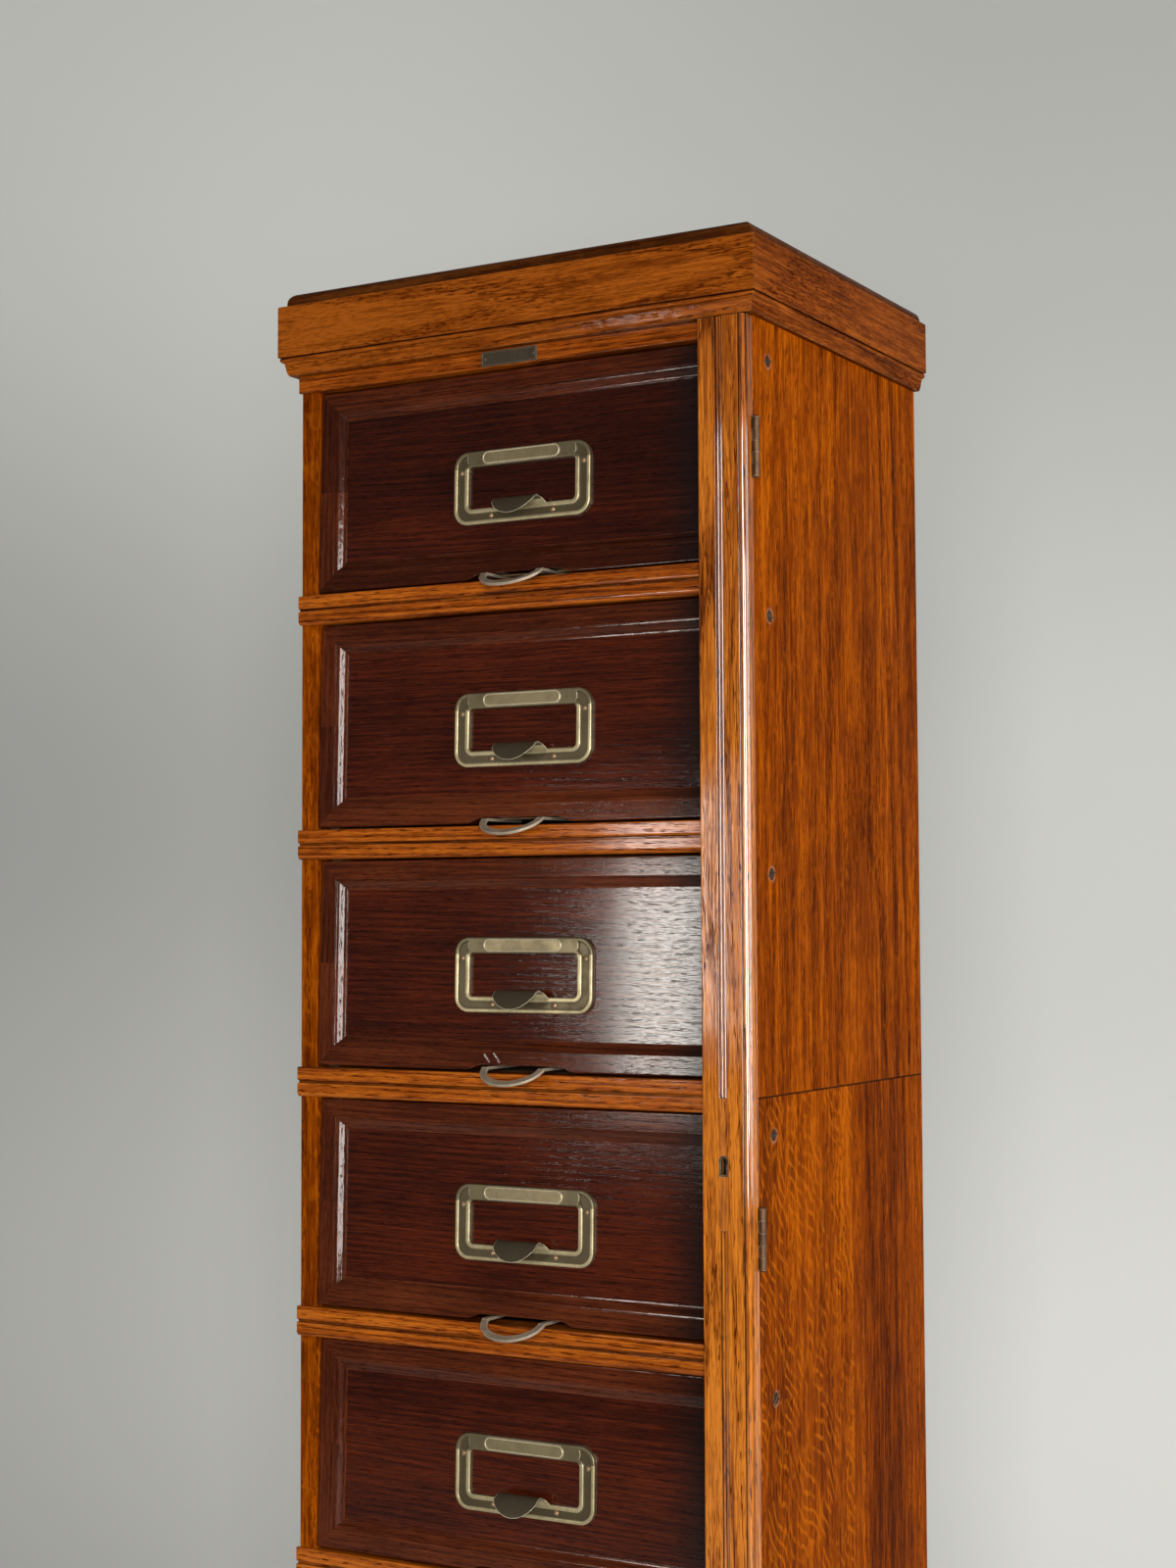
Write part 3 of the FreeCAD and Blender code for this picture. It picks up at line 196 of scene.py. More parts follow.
# oak seen from any side: growth rings round a pith, long streaks, broad bands, open pores and curled ray flakes
def makeBoardGrain():
    group, enter, leave = newGroup(
        "boardGrain", {"Ring Width": 0.007, "Heart": 0.15, "Taper": 0.02, "Waver": 0.005, "Flake": 0.0, "Fine": 1.0,
                       "Dash": 1.0, "Flame": 0.0},
        ["Rings", "Streaks", "Bands", "Pores", "Flakes", "Height"])
    straight = enter["Vector"]

    def stretched(source, scales, detail, low, high):
        return smoothStep(noise(source * scales, 1.0, detail, 0.6), low, high)

    drift = addNode(group, "ShaderNodeTexNoise",
                    {"Vector": straight * (0.8, 3.0, 3.0), "Scale": 2.4, "Detail": 2.0}, "Color")
    shift = (drift - (0.5, 0.5, 0.5)) * (0.0, 1.0, 1.0)
    grain = straight + addNode(group, "ShaderNodeVectorMath", {0: shift, "Scale": enter["Waver"]}, operation="SCALE")
    along, across, depth = separate(grain)
    deep = depth + enter["Heart"]
    radius = maths("SQRT", across * across + deep * deep) + along * enter["Taper"]
    years = radius / enter["Ring Width"]
    ringPlace = maths("FRACT", years)
    year = addNode(group, "ShaderNodeTexWhiteNoise", {"W": maths("FLOOR", years)}, "Value", noise_dimensions="1D")
    porous = (smoothStep(ringPlace, 0.0, 0.55, 1.0, 0.0) + smoothStep(ringPlace, 0.86, 1.0)).clamped()
    fineGrain = grain * combine(enter["Dash"], enter["Fine"], enter["Fine"])
    streaks = stretched(fineGrain, (4.0, 190.0, 190.0), 3.0, 0.34, 0.66)
    threads = stretched(fineGrain, (18.0, 640.0, 640.0), 2.0, 0.36, 0.64)
    dashes = stretched(fineGrain, (55.0, 800.0, 800.0), 1.0, 0.525, 0.605)
    pores = dashes * (porous * 0.6 + 0.4)
    curl = noise(grain * (24.0, 80.0, 20.0), 1.0, 2.0, 0.45)
    ribbon = smoothStep(abs(curl - 0.5), 0.008, 0.05, 1.0, 0.0)
    broken = stretched(straight, (30.0, 60.0, 30.0), 2.0, 0.3, 0.6)
    wander = noise(straight * (11.0, 24.0, 10.0), 1.0, 2.0, 0.5)
    plainAlong, plainAcross = separate(straight)[:2]
    wave = maths("SINE", wander * 26.0 + (plainAcross * 1.1 + plainAlong) * 460.0)
    parted = stretched(straight, (26.0, 60.0, 30.0), 2.0, 0.42, 0.58)
    flames = smoothStep(wave, 0.35, 0.9) * parted * enter["Flame"]
    feedAll(leave, {
        "Rings": porous * (year * 0.75 + 0.25), "Streaks": threads * 0.5 + streaks * 0.5,
        "Bands": stretched(grain, (1.1, 15.0, 15.0), 2.0, 0.3, 0.7), "Pores": pores,
        "Flakes": maths("MAXIMUM", ribbon * broken * enter["Flake"], flames), "Height": threads * 0.3 - pores})
    return group


# rubbed corners, which on metal also carry painted highlights: the mask is high where the surface turns away within
# the radius
def makeEdgeWearAndHighlight():
    group, enter, leave = newGroup("edgeWearAndHighlight", {"Radius": 0.003, "Soft": 0.0005, "Breakup": 1.0}, ["WearAndHighlight", "Normal"])
    wide = addNode(group, "ShaderNodeBevel", {"Radius": enter["Radius"]}, samples=6)
    fine = addNode(group, "ShaderNodeBevel", {"Radius": enter["Soft"]}, samples=6)
    face = addNode(group, "ShaderNodeNewGeometry", output="True Normal")
    edge = smoothStep(1.0 - maths("DOT_PRODUCT", wide, face), 0.01, 0.2)
    rub = smoothStep(noise(enter["Vector"], 55.0, 4.0, 0.65), 0.38, 0.66)
    feedAll(leave, {"WearAndHighlight": edge * (1.0 - enter["Breakup"] * (1.0 - rub)), "Normal": fine})
    return group


# old polish and dirt that gathers in quirks and corners, with painted shade there: darker where the surface is hidden
# within the reach
def makeGrimeAndShade(name, ownShape):
    group, enter, leave = newGroup(name, {"Reach": 0.008}, ["GrimeAndShade"])
    openness = addNode(group, "ShaderNodeAmbientOcclusion", {"Distance": enter["Reach"]}, "AO", samples=8,
                       only_local=ownShape)
    patch = smoothStep(noise(enter["Vector"], 30.0, 3.0, 0.6), 0.25, 0.6, 0.6, 1.0)
    feedAll(leave, {"GrimeAndShade": smoothStep(openness, 0.35, 0.95, 1.0, 0.0) * patch})
    return group


boardGrain = makeBoardGrain()
edgeWearAndHighlight = makeEdgeWearAndHighlight()
# both darken hollows with dirt and painted shade; the second also darkens between parts
grimeAndShade = makeGrimeAndShade("grimeAndShade", True)
jointGrimeAndShade = makeGrimeAndShade("jointGrimeAndShade", False)  # counts the boards beside it too
print("shared finishes ready")


# number of the drawer opening at a height, counted up from the lowest
def drawerLevel(z):
    return maths("FLOOR", (z - (railTop[7] - railReach)) / pitch)


# height above the rail that the drawer at this level stands on
def heightOverRail(z):
    return z - (drawerLevel(z) * pitch + railTop[7])


# which way the grain runs on each kind of piece, x being along it, and a number for each of its boards
def grainVector(position, layout):
    x, y, z = separate(position)
    if layout == "upright":
        return combine(z, y, x), maths("SIGN", x)
    if layout == "uprightFront":
        return combine(z, x, y), 0.0
    if layout == "acrossFront":
        return combine(x, z, y), drawerLevel(z)
    if layout == "deep":
        return combine(y, x, z), drawerLevel(z) + maths("SIGN", x)
    if layout == "backBoards":
        low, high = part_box("back_panels")
        column = maths("FLOOR", (x - low.x) / ((high.x - low.x) / backBoards))
        return combine(z, x, y), (z > seam) * aboveSeam + column
    if layout in mitres:
        onSide = (abs(x) - halfWidth) > (y * -1.0 - mitres[layout])
        return mixVector(onSide, combine(x, z, y), combine(y, z, x)), onSide * (maths("SIGN", x) + 2.0)
    if layout == "drawerFrame":
        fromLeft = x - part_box("drawer_1_front_frame")[0].x
        height = heightOverRail(z)
        fromLow = height - fronts["foot"]
        fromHigh = fronts["head"] - height
        onUpright = fromLeft < maths("MINIMUM", fromLow, fromHigh)
        board = drawerLevel(z) * 3.0 + (onUpright + (fromLow > fromHigh))
        return mixVector(onUpright, combine(x, z, y), combine(z, x, y)), board
    if layout == "box":  # sides run to the back, the rear board and the bottom run across
        low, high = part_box("drawer_1_box")
        onSide = abs(x - (low.x + high.x) / 2) > (high.x - low.x) / 2 - boxSide
        return mixVector(onSide, combine(x, z, y), combine(y, z, x)), drawerLevel(z) + onSide * maths("SIGN", x)


sideScrew = {"radius": 0.0046, "sunk": 0.0011, "rise": 0.0005, "thickness": 0.0012, "slotWidth": 0.0011,
             "slotDepth": 0.0009, "setback": 0.027, "drop": 0.017, "opening": 0.175, "seed": 11,
             "ring": (0.0052, 0.0078, 0.8, 0.0)}  # bare ring round a head: inner and outer radius, strength at each


# rings rubbed through the polish round the side screws
def screwRing(position):
    x, y, z = separate(position)
    up = heightOverRail(z) - (sideScrew["opening"] - sideScrew["drop"])
    away = maths("LENGTH", combine(y - (caseFront + sideScrew["setback"]), up, 0.0))
    return smoothStep(away, *sideScrew["ring"]) * smoothStep(noise(position, 160.0, 2.0, 0.6), 0.35, 0.6)


# short strokes of chalk on one drawer, each from a point to a point across and over the rail
def chalkStrokes(position, chalk):
    x, y, z = separate(position)
    spot = combine(x, z - railTop[chalk["drawer"]], 0.0)
    nearest = 1.0
    for start, end in chalk["strokes"]:
        run = Vector((*end, 0.0)) - Vector((*start, 0.0))
        away = spot - (*start, 0.0)
        share = (maths("DOT_PRODUCT", away, run / run.length_squared) + 0.0).clamped()
        nearest = maths("MINIMUM", nearest, maths("LENGTH", away - combine(share, share, share) * run))
    mark = smoothStep(nearest, 0.5 * chalk["width"], chalk["width"], 1.0, 0.0)
    return mark * smoothStep(noise(position, 700.0, 2.0, 0.6), 0.4, 0.6, 0.15, 0.9)


def startMaterial(name):
    material = bpy.data.materials.new(name)
    material.use_nodes = True
    tree = material.node_tree
    return material, tree, tree.nodes["Principled BSDF"], addNode(tree, "ShaderNodeTexCoord", output="Object")


# what pores, clouds and dirt do to the gloss of the oak
polish = {"poreRough": 0.25, "cloudRough": 0.16, "dirtRough": 0.2, "poreCoat": 0.85, "dirtCoat": 0.6,
          "poreDepth": 0.00012}


# oak under old polish
def makeOak(name, look):
    material, tree, shader, position = startMaterial(name)
    x, y, z = separate(position)
    vector, board = grainVector(position, look["layout"])
    chance = named(newNode(tree, "ShaderNodeTexWhiteNoise", {"W": board}, noise_dimensions="1D").outputs)
    moved = chance["Color"] * look["scatter"] + vector + look["offset"]
    flake, flame = look["flake"], look["flame"]
    if "joint" in look:  # two boards glued side by side, the rear one straight-grained and darker
        fromJoint = y - look["joint"]
        rearBoard = fromJoint > 0.0
        flake = (1.0 - rearBoard) * flake
        flame = ((y > caseFront + look["edgeBand"]) - rearBoard) * flame
        moved = moved + combine(rearBoard, rearBoard, rearBoard) * look["rearShift"]
    grain = place(tree, boardGrain, {
        "Vector": moved, "Ring Width": look["ringWidth"], "Heart": look["heart"], "Taper": look["taper"],
        "Waver": look["waver"], "Flake": flake, "Fine": look["fine"], "Dash": look["dash"], "Flame": flame})
    cloud = smoothStep(noise(position, 7.0, 3.0, 0.6), 0.3, 0.7)
    rings = grain["Rings"]
    if "bold" in look:  # a strip of the board where the year rings show as bold lines
        middle, reach = look["bold"]
        rings = rings * smoothStep(abs(y - middle), 0.4 * reach, reach, 1.0, 0.25)
    tone = grain["Streaks"] * look["streak"] + cloud * look["cloud"] + grain["Bands"] * look["band"]
    tone = tone - rings * look["ring"] + look["lift"]
    if "joint" in look:
        tone = tone - rearBoard * look["rearShade"]
    if "sideTone" in look:  # boards that run to the back
        tone = tone + (board > 0.5) * look["sideTone"]
    if "lightAndShadeByHeight" in look:  # painted light and shade by height: the lower part lighter, the upper part darker
        tone = tone + smoothStep(z, *look["lightAndShadeByHeight"])
    tone = (tone + chance["Value"] * look["boards"]).clamped()
    color = colorRamp(tone, [look["dark"], look["mid"], look["light"]])
    color = mixColor(grain["Flakes"], color, look["flakeColor"])
    color = mixColor(grain["Pores"] * look["poreDark"], color, look["pore"])
    rubbedAndLit = place(tree, edgeWearAndHighlight, {"Vector": position, "Radius": look["wearReach"], "Soft": look["soft"]})
    # dirt, with painted shade where the surface is hidden
    dirtAndShade = place(tree, look["grimeAndShadeGroup"], {"Vector": position, "Reach": look["grimeAndShadeReach"]})["GrimeAndShade"]
    if "joint" in look:
        color = mixColor(smoothStep(abs(fromJoint), 0.0003, 0.0009, look["glueLine"], 0.0), color, look["dirtAndShade"])
    if "endShade" in look:  # painted shadow of the stile on the end beside it
        color = mixColor(smoothStep(x, *look["endShade"]), color, look["endColor"])
    if "seamLine" in look:
        color = mixColor(smoothStep(abs(z - seam), 0.0005, 0.0011, look["seamLine"], 0.0), color, look["dirtAndShade"])
    if "chalk" in look:
        color = mixColor(chalkStrokes(position, look["chalk"]), color, look["chalk"]["color"])
    if "screwRing" in look:
        color = mixColor(screwRing(position), color, look["screwRing"])
    color = mixColor(rubbedAndLit["WearAndHighlight"] * (look["wearAndHighlight"] - dirtAndShade * 2.0).clamped(), color, look["wornAndHighlight"])
    # dirt and painted shade in corners and hollows
    color = mixColor(dirtAndShade * look["grimeAndShade"], color, look["dirtAndShade"])
    rough = grain["Pores"] * polish["poreRough"] + look["roughness"] + cloud * polish["cloudRough"]
    bump = addNode(tree, "ShaderNodeBump", {"Strength": look["bump"], "Distance": polish["poreDepth"],
                                            "Height": grain["Height"], "Normal": rubbedAndLit["Normal"]})
    coat, coatNormal = look["coat"], bump
    if coat:
        coat = (coat - grain["Pores"] * (polish["poreCoat"] * coat) - dirtAndShade * (polish["dirtCoat"] * coat)).clamped()
    if "shine" in look:  # rounded members keep a full, smooth polish, the flats have lost some of theirs
        shine = 0.0
        for start, end in look["shine"]:
            shine = maths("MAXIMUM", shine, (x > start) * (x < end))
        coat = maths("MAXIMUM", coat * look["flatCoat"], shine)
        coatNormal = mixVector(shine, bump, rubbedAndLit["Normal"])
    feedAll(shader, {
        "Base Color": color, "Roughness": (rough + dirtAndShade * polish["dirtRough"]).clamped(), "Normal": bump,
        "Coat Normal": coatNormal, "Coat Weight": coat, "Specular IOR Level": look["specular"],
        "Coat IOR": look["coatIor"], "Coat Roughness": look["coatRoughness"]})
    return material


def without(look, *names):
    return {name: value for name, value in look.items() if name not in names}


# gives a finish to solids of the frame
def paint(names, material):
    for name in names:
        mesh = nodes[name].data
        mesh.materials.clear()
        mesh.materials.append(material)


def drawerNodes(piece):
    return [f"drawer_{number}_{piece}" for number in drawers]


sideLook = {
    "layout": "upright", "ringWidth": 0.0062, "heart": 0.10, "taper": 0.01, "waver": 0.014, "flake": 0.25,
    "flame": 0.0, "fine": 0.8, "dash": 2.2, "streak": 0.7, "cloud": 0.16, "band": 0.36, "ring": 0.5, "lift": -0.06,
    "boards": 0.0, "scatter": (3.0, 0.05, 0.03), "offset": (0.0, -0.065, 0.0), "bold": (0.075, 0.075),
    "seamLine": 0.85, "screwRing": (0.30, 0.13, 0.075),
    "dark": (0.055, 0.0085, 0.0003), "mid": (0.195, 0.035, 0.0004), "light": (0.42, 0.096, 0.0010),
    "flakeColor": (0.40, 0.095, 0.003), "pore": (0.045, 0.006, 0.0005), "poreDark": 0.65,
    "wornAndHighlight": (0.32, 0.12, 0.025), "wearAndHighlight": 0.4, "wearReach": 0.002, "soft": 0.0006,
    "dirtAndShade": (0.018, 0.004, 0.001), "grimeAndShade": 0.7, "grimeAndShadeReach": 0.006, "grimeAndShadeGroup": grimeAndShade,
    "roughness": 0.3, "bump": 0.5, "specular": 0.01, "coat": 0.0, "coatRoughness": 0.12, "coatIor": 1.5,
}
bareSide = without(sideLook, "screwRing", "bold", "seamLine")
lowerSideLook = sideLook | {
    "flake": 0.3, "flame": 0.55, "flakeColor": (0.46, 0.115, 0.002), "ringWidth": 0.010, "offset": (0.4, 0.03, 0.02),
    "ring": 0.15, "lift": -0.08, "joint": 0.012, "edgeBand": 0.0012, "rearShade": 0.12, "rearShift": (1.7, 0.21, 0.4),
    "glueLine": 0.6,
}
stileLook = bareSide | {
    "layout": "uprightFront", "lift": -0.03, "heart": 0.03, "ringWidth": 0.005, "waver": 0.007, "flake": 0.1,
    "taper": 0.02, "dark": (0.085, 0.017, 0.0012), "mid": (0.29, 0.070, 0.005), "light": (0.60, 0.185, 0.016),
    "flakeColor": (0.5, 0.15, 0.012), "wornAndHighlight": (0.42, 0.2, 0.06), "poreDark": 0.9, "coat": 1.0, "coatRoughness": 0.06,
    "coatIor": 2.1, "fine": 1.15, "dash": 1.4, "streak": 0.75, "bump": 0.2, "grimeAndShadeReach": 0.003,
    "shine": ((0.1888, 0.1952), (0.2087, 0.2152)), "flatCoat": 0.36,
    "offset": (0.2, -0.19, 0.16), "lightAndShadeByHeight": (0.72, 1.40, 0.36, -0.08),
}
plainStile = without(stileLook, "shine", "flatCoat", "lightAndShadeByHeight") | {"grimeAndShadeReach": 0.006, "grimeAndShade": 0.85}
postLook = plainStile | {"lightAndShadeByHeight": stileLook["lightAndShadeByHeight"], "roughness": 0.45, "coat": 0.0}
railLook = plainStile | {
    "layout": "acrossFront", "dark": (0.085, 0.015, 0.0008), "mid": (0.27, 0.056, 0.003),
    "light": (0.48, 0.125, 0.009), "flakeColor": (0.44, 0.11, 0.008), "offset": (0.0, 0.0, 0.17), "boards": 0.12,
    "lift": 0.04, "coat": 0.5, "coatIor": 1.6, "coatRoughness": 0.09, "lightAndShadeByHeight": (1.12, 1.30, 0.12, -0.12), "dash": 1.5,
}
corniceLook = plainStile | {
    "layout": "cornice", "sideTone": -0.2, "grimeAndShadeGroup": jointGrimeAndShade, "grimeAndShadeReach": 0.008, "grimeAndShade": 1.0, "heart": 0.05,
    "ringWidth": 0.006, "ring": 0.32, "boards": 0.15, "lift": 0.0,
    "dark": (0.05, 0.009, 0.0006), "mid": (0.165, 0.035, 0.0024), "light": (0.33, 0.082, 0.007),
    "flakeColor": (0.32, 0.08, 0.006), "offset": (0.0, -1.53, 0.2), "scatter": (3.0, 0.0, 0.0), "poreDark": 0.8,
    "coat": 0.15, "coatIor": 1.5, "dash": 2.2, "fine": 1.0,
}
plinthLook = corniceLook | {"layout": "plinth", "offset": (0.0, -0.04, 0.2)}
topLook = without(corniceLook, "sideTone") | {
    "layout": "acrossFront", "dark": (0.018, 0.005, 0.001), "mid": (0.052, 0.014, 0.0025),
    "light": (0.105, 0.030, 0.005), "offset": (0.0, -1.56, 0.1),
}
panelLook = {
    "layout": "acrossFront", "ringWidth": 0.0055, "heart": 0.07, "taper": 0.03, "waver": 0.016, "flake": 0.0,
    "flame": 0.0, "fine": 2.5, "dash": 2.2, "streak": 0.55, "cloud": 0.2, "band": 0.2, "ring": 0.14, "lift": 0.05,
    "boards": 0.06, "scatter": (3.0, 0.06, 0.04), "offset": (0.0, 0.0, 0.0),
    "dark": (0.008, 0.0008, 0.0003), "mid": (0.035, 0.0044, 0.0011), "light": (0.110, 0.0165, 0.0036),
    "flakeColor": (0.09, 0.02, 0.01), "pore": (0.005, 0.001, 0.0006), "poreDark": 0.6,
    "wornAndHighlight": (0.11, 0.035, 0.016), "wearAndHighlight": 0.25, "wearReach": 0.0015, "soft": 0.0004,
    "dirtAndShade": (0.005, 0.0015, 0.001), "grimeAndShade": 0.5, "grimeAndShadeReach": 0.005, "grimeAndShadeGroup": grimeAndShade,
    "lightAndShadeByHeight": (1.24, 1.34, 0.06, -0.14), "endShade": (0.118, 0.168, 0.0, 0.88), "endColor": (0.0055, 0.0035, 0.0035),
    "roughness": 0.35, "bump": 0.075, "specular": 0.02, "coat": 1.0, "coatRoughness": 0.08, "coatIor": 1.5,
}
frameLook = panelLook | {
    "layout": "drawerFrame", "boards": 0.2, "coat": 0.72, "dark": (0.015, 0.0024, 0.0007),
    "mid": (0.047, 0.0082, 0.0023), "light": (0.125, 0.026, 0.007), "wornAndHighlight": (0.16, 0.055, 0.025), "wearAndHighlight": 0.45,
    "wearReach": 0.0022,
    "chalk": {"drawer": 3, "width": 0.0011, "color": (0.42, 0.37, 0.35),
              "strokes": [((-0.0315, 0.0145), (-0.0270, 0.0090)), ((-0.0225, 0.0155), (-0.0175, 0.0090))]},
}
plainLook = bareSide | {
    "layout": "deep", "dark": (0.19, 0.105, 0.045), "mid": (0.36, 0.225, 0.11), "light": (0.50, 0.345, 0.19),
    "flakeColor": (0.50, 0.36, 0.21), "pore": (0.13, 0.075, 0.035), "wornAndHighlight": (0.5, 0.36, 0.22), "wearAndHighlight": 0.3,
    "dirtAndShade": (0.10, 0.06, 0.03), "flake": 0.15, "boards": 0.25, "lift": -0.08, "roughness": 0.55, "specular": 0.25,
}
backLook = plainLook | {
    "layout": "backBoards", "roughness": 0.62, "scatter": (3.0, 0.3, 0.1),
    "dark": (0.13, 0.066, 0.026), "mid": (0.26, 0.145, 0.063), "light": (0.38, 0.235, 0.115),
}
backOak = makeOak("backOak", backLook)
paint(["upper_side_left", "upper_side_right"], makeOak("sideOak", sideLook))
paint(["lower_side_left", "lower_side_right"], makeOak("lowerSideOak", lowerSideLook))
paint(["locking_stile"], makeOak("stileOak", stileLook))
paint(["front_rails", "top_rail"], makeOak("railOak", railLook))
paint(["cornice_frieze", "cornice_moulding"], makeOak("corniceOak", corniceLook))
paint(["plinth"], makeOak("plinthOak", plinthLook))
paint(["top_board"], makeOak("topOak", topLook))
paint(["hinge_posts"], makeOak("postOak", postLook))
paint(["drawer_runners"], makeOak("runnerOak", plainLook))
paint(["seam_boards", "floor_board"], makeOak("boardOak", plainLook | {"layout": "acrossFront"}))
paint(["back_panels"], backOak)
paint(drawerNodes("panel"), makeOak("panelOak", panelLook))
paint(drawerNodes("front_frame"), makeOak("frameOak", frameLook))
paint(drawerNodes("box"), makeOak("boxOak", plainLook | {"layout": "box"}))
print("oak pieces painted")


# a label holder has a dull tongue and channel, a dark upper bar, a paler bare plaque and bright pins in dark rings
def holderMetal(position, bright, dull, look):
    x, y, z = separate(position)
    height = heightOverRail(z)
    forward = height * fronts["lean"] + (caseFront + look["rimSetback"]) - y  # from the plane of the rim
    tongue = smoothStep(forward, 0.0012, 0.0024)
    channel = smoothStep(forward, -0.0014, -0.0007, 1.0, 0.0)
    onBar = height > look["barFrom"]
    plaque = smoothStep(forward, 0.0003, 0.0006) * onBar
    bar = (onBar - maths("MAXIMUM", plaque, channel)).clamped()
    bright = mixColor(plaque, bright, look["plaque"])
    bright = mixColor(bar * look["barDark"], bright, look["bar"])
    bright = mixColor(channel * look["channelDull"], bright, look["channel"])
    bright = mixColor(tongue * look["tongueDull"], bright, look["tongue"])
    nearest = 1.0
    for pin in look["pins"]:
        nearest = maths("MINIMUM", nearest, maths("DISTANCE", combine(x, height, 0.0), (*pin, 0.0)))
    onPin = smoothStep(nearest, look["pinRadius"] - look["pinEdge"], look["pinRadius"], 1.0, 0.0)
    dull = maths("MAXIMUM", dull, smoothStep(nearest, look["pinRadius"], look["pinRing"], 1.0, 0.0))
    return mixColor(onPin, bright, look["pin"]), (dull - onPin).clamped()


# plated or bare metal with tarnish, pits and rubbed edges; the rubbed edges are pale and less metallic, so they also
# paint highlights along rims and knuckles
def makeMetal(name, look):
    material, tree, shader, position = startMaterial(name)
    speck = noise(position, look["speckScale"], 2.0, 0.6)
    hair = noise(position * look["brush"], 1.0, 2.0, 0.6)
    # dirt, with painted shade where the surface is hidden
    dirtAndShade = place(tree, grimeAndShade, {"Vector": position, "Reach": look["grimeAndShadeReach"]})["GrimeAndShade"]
    rubbedAndLit = place(tree, edgeWearAndHighlight, {"Vector": position, "Radius": look["wearReach"], "Soft": look["soft"],
                                    "Breakup": look["breakup"]})
    dull = smoothStep(noise(position, look["stainScale"], 4.0, 0.65), 0.36, 0.68) * look["stain"]
    dull = dull + smoothStep(speck, 0.55, 0.72) * look["speck"]
    dull = (dull + dirtAndShade * look["grimeAndShade"]).clamped()
    bright = mixColor(hair, look["metal"], look["sheen"])
    if "holder" in look:
        bright, dull = holderMetal(position, bright, dull, look["holder"])
    wornAndHighlight = rubbedAndLit["WearAndHighlight"] * (1.0 - dirtAndShade * 2.0).clamped()
    color = mixColor(dull, bright, look["tarnish"])
    color = mixColor(wornAndHighlight * look["wearAndHighlight"], color, look["wornAndHighlight"])
    metallic = (look["metallic"] - dirtAndShade * look["dirtMatte"]).clamped()
    bump = addNode(tree, "ShaderNodeBump", {"Strength": look["bump"], "Distance": look["pitDepth"],
                                            "Height": hair * 0.3 - speck * 0.7, "Normal": rubbedAndLit["Normal"]})
    feedAll(shader, {
        # rubbed edges lose some metal, so their pale colour shows as a painted highlight
        "Base Color": color, "Metallic": (metallic - wornAndHighlight * look["wornAndHighlightMatte"]).clamped(), "Normal": bump,
        "Roughness": (dull * look["dullRoughness"] + look["roughness"] + hair * look["hairRough"]).clamped()})
    return material


platedLook = {
    "stainScale": 60.0, "speckScale": 900.0, "brush": (500.0, 90.0, 90.0), "stain": 0.3, "speck": 0.25, "grimeAndShade": 1.0,
    "grimeAndShadeReach": 0.0022, "wearAndHighlight": 1.0, "wearReach": 0.0009, "soft": 0.0003, "breakup": 0.15, "roughness": 0.24,
    "dullRoughness": 0.3, "hairRough": 0.1, "bump": 0.15, "pitDepth": 0.0004, "metallic": 0.55, "wornAndHighlightMatte": 0.2,
    "dirtMatte": 0.5,
}
nickelLook = platedLook | {
    "metal": (0.43, 0.35, 0.19), "sheen": (0.64, 0.55, 0.33), "tarnish": (0.055, 0.040, 0.020),
    # near-white rubbed rims: wear and a painted highlight
    "wornAndHighlight": (1.0, 0.92, 0.66),
    "holder": {
        "rimSetback": 0.0025, "tongueDull": 0.9, "tongue": (0.050, 0.038, 0.026), "channelDull": 0.9,
        "channel": (0.072, 0.052, 0.025), "barFrom": 0.0955, "bar": (0.125, 0.100, 0.052), "barDark": 0.85,
        "plaque": (0.32, 0.26, 0.145), "pin": (0.36, 0.21, 0.11), "pinRadius": 0.0021, "pinEdge": 0.0002,
        "pinRing": 0.0034, "pins": ((-0.0563, 0.0925), (0.0603, 0.0925), (-0.0275, 0.055), (0.0315, 0.055)),
    },
}
agedLook = platedLook | {
    "metal": (0.46, 0.37, 0.27), "sheen": (0.62, 0.52, 0.39), "tarnish": (0.16, 0.11, 0.07), "stain": 0.45,
    "wornAndHighlight": (0.80, 0.72, 0.57), "roughness": 0.27, "metallic": 0.6, "wornAndHighlightMatte": 0.3,
}
brassLook = agedLook | {
    "metal": (0.08, 0.04, 0.018), "sheen": (0.14, 0.075, 0.034), "tarnish": (0.024, 0.012, 0.006), "stain": 0.8,
    # bright rubbed spots on the dark knuckles: wear and painted highlights
    "wornAndHighlight": (0.70, 0.52, 0.30), "roughness": 0.3, "breakup": 0.9, "wearAndHighlight": 0.6,
}
steelLook = agedLook | {
    "metal": (0.20, 0.16, 0.12), "sheen": (0.28, 0.24, 0.19), "tarnish": (0.050, 0.028, 0.016),
    "wornAndHighlight": (0.5, 0.43, 0.36), "roughness": 0.34, "breakup": 0.9,
}
screwLook = steelLook | {
    "metal": (0.085, 0.058, 0.036), "sheen": (0.13, 0.095, 0.062), "tarnish": (0.028, 0.016, 0.009),
    "wornAndHighlight": (0.28, 0.22, 0.16), "metallic": 0.8,
}
ironLook = steelLook | {
    "metal": (0.012, 0.011, 0.010), "sheen": (0.02, 0.018, 0.016), "tarnish": (0.008, 0.006, 0.005),
    "wornAndHighlight": (0.05, 0.045, 0.04),
}
linerLook = brassLook | {"metal": (0.22, 0.15, 0.075), "wornAndHighlight": (0.75, 0.62, 0.42), "wearAndHighlight": 0.8, "breakup": 0.8}
beadLook = agedLook | {
    "metal": (0.50, 0.42, 0.25), "sheen": (0.66, 0.57, 0.36), "stain": 0.3, "speck": 0.1, "grimeAndShade": 0.3,
    "roughness": 0.3, "metallic": 0.5,
}
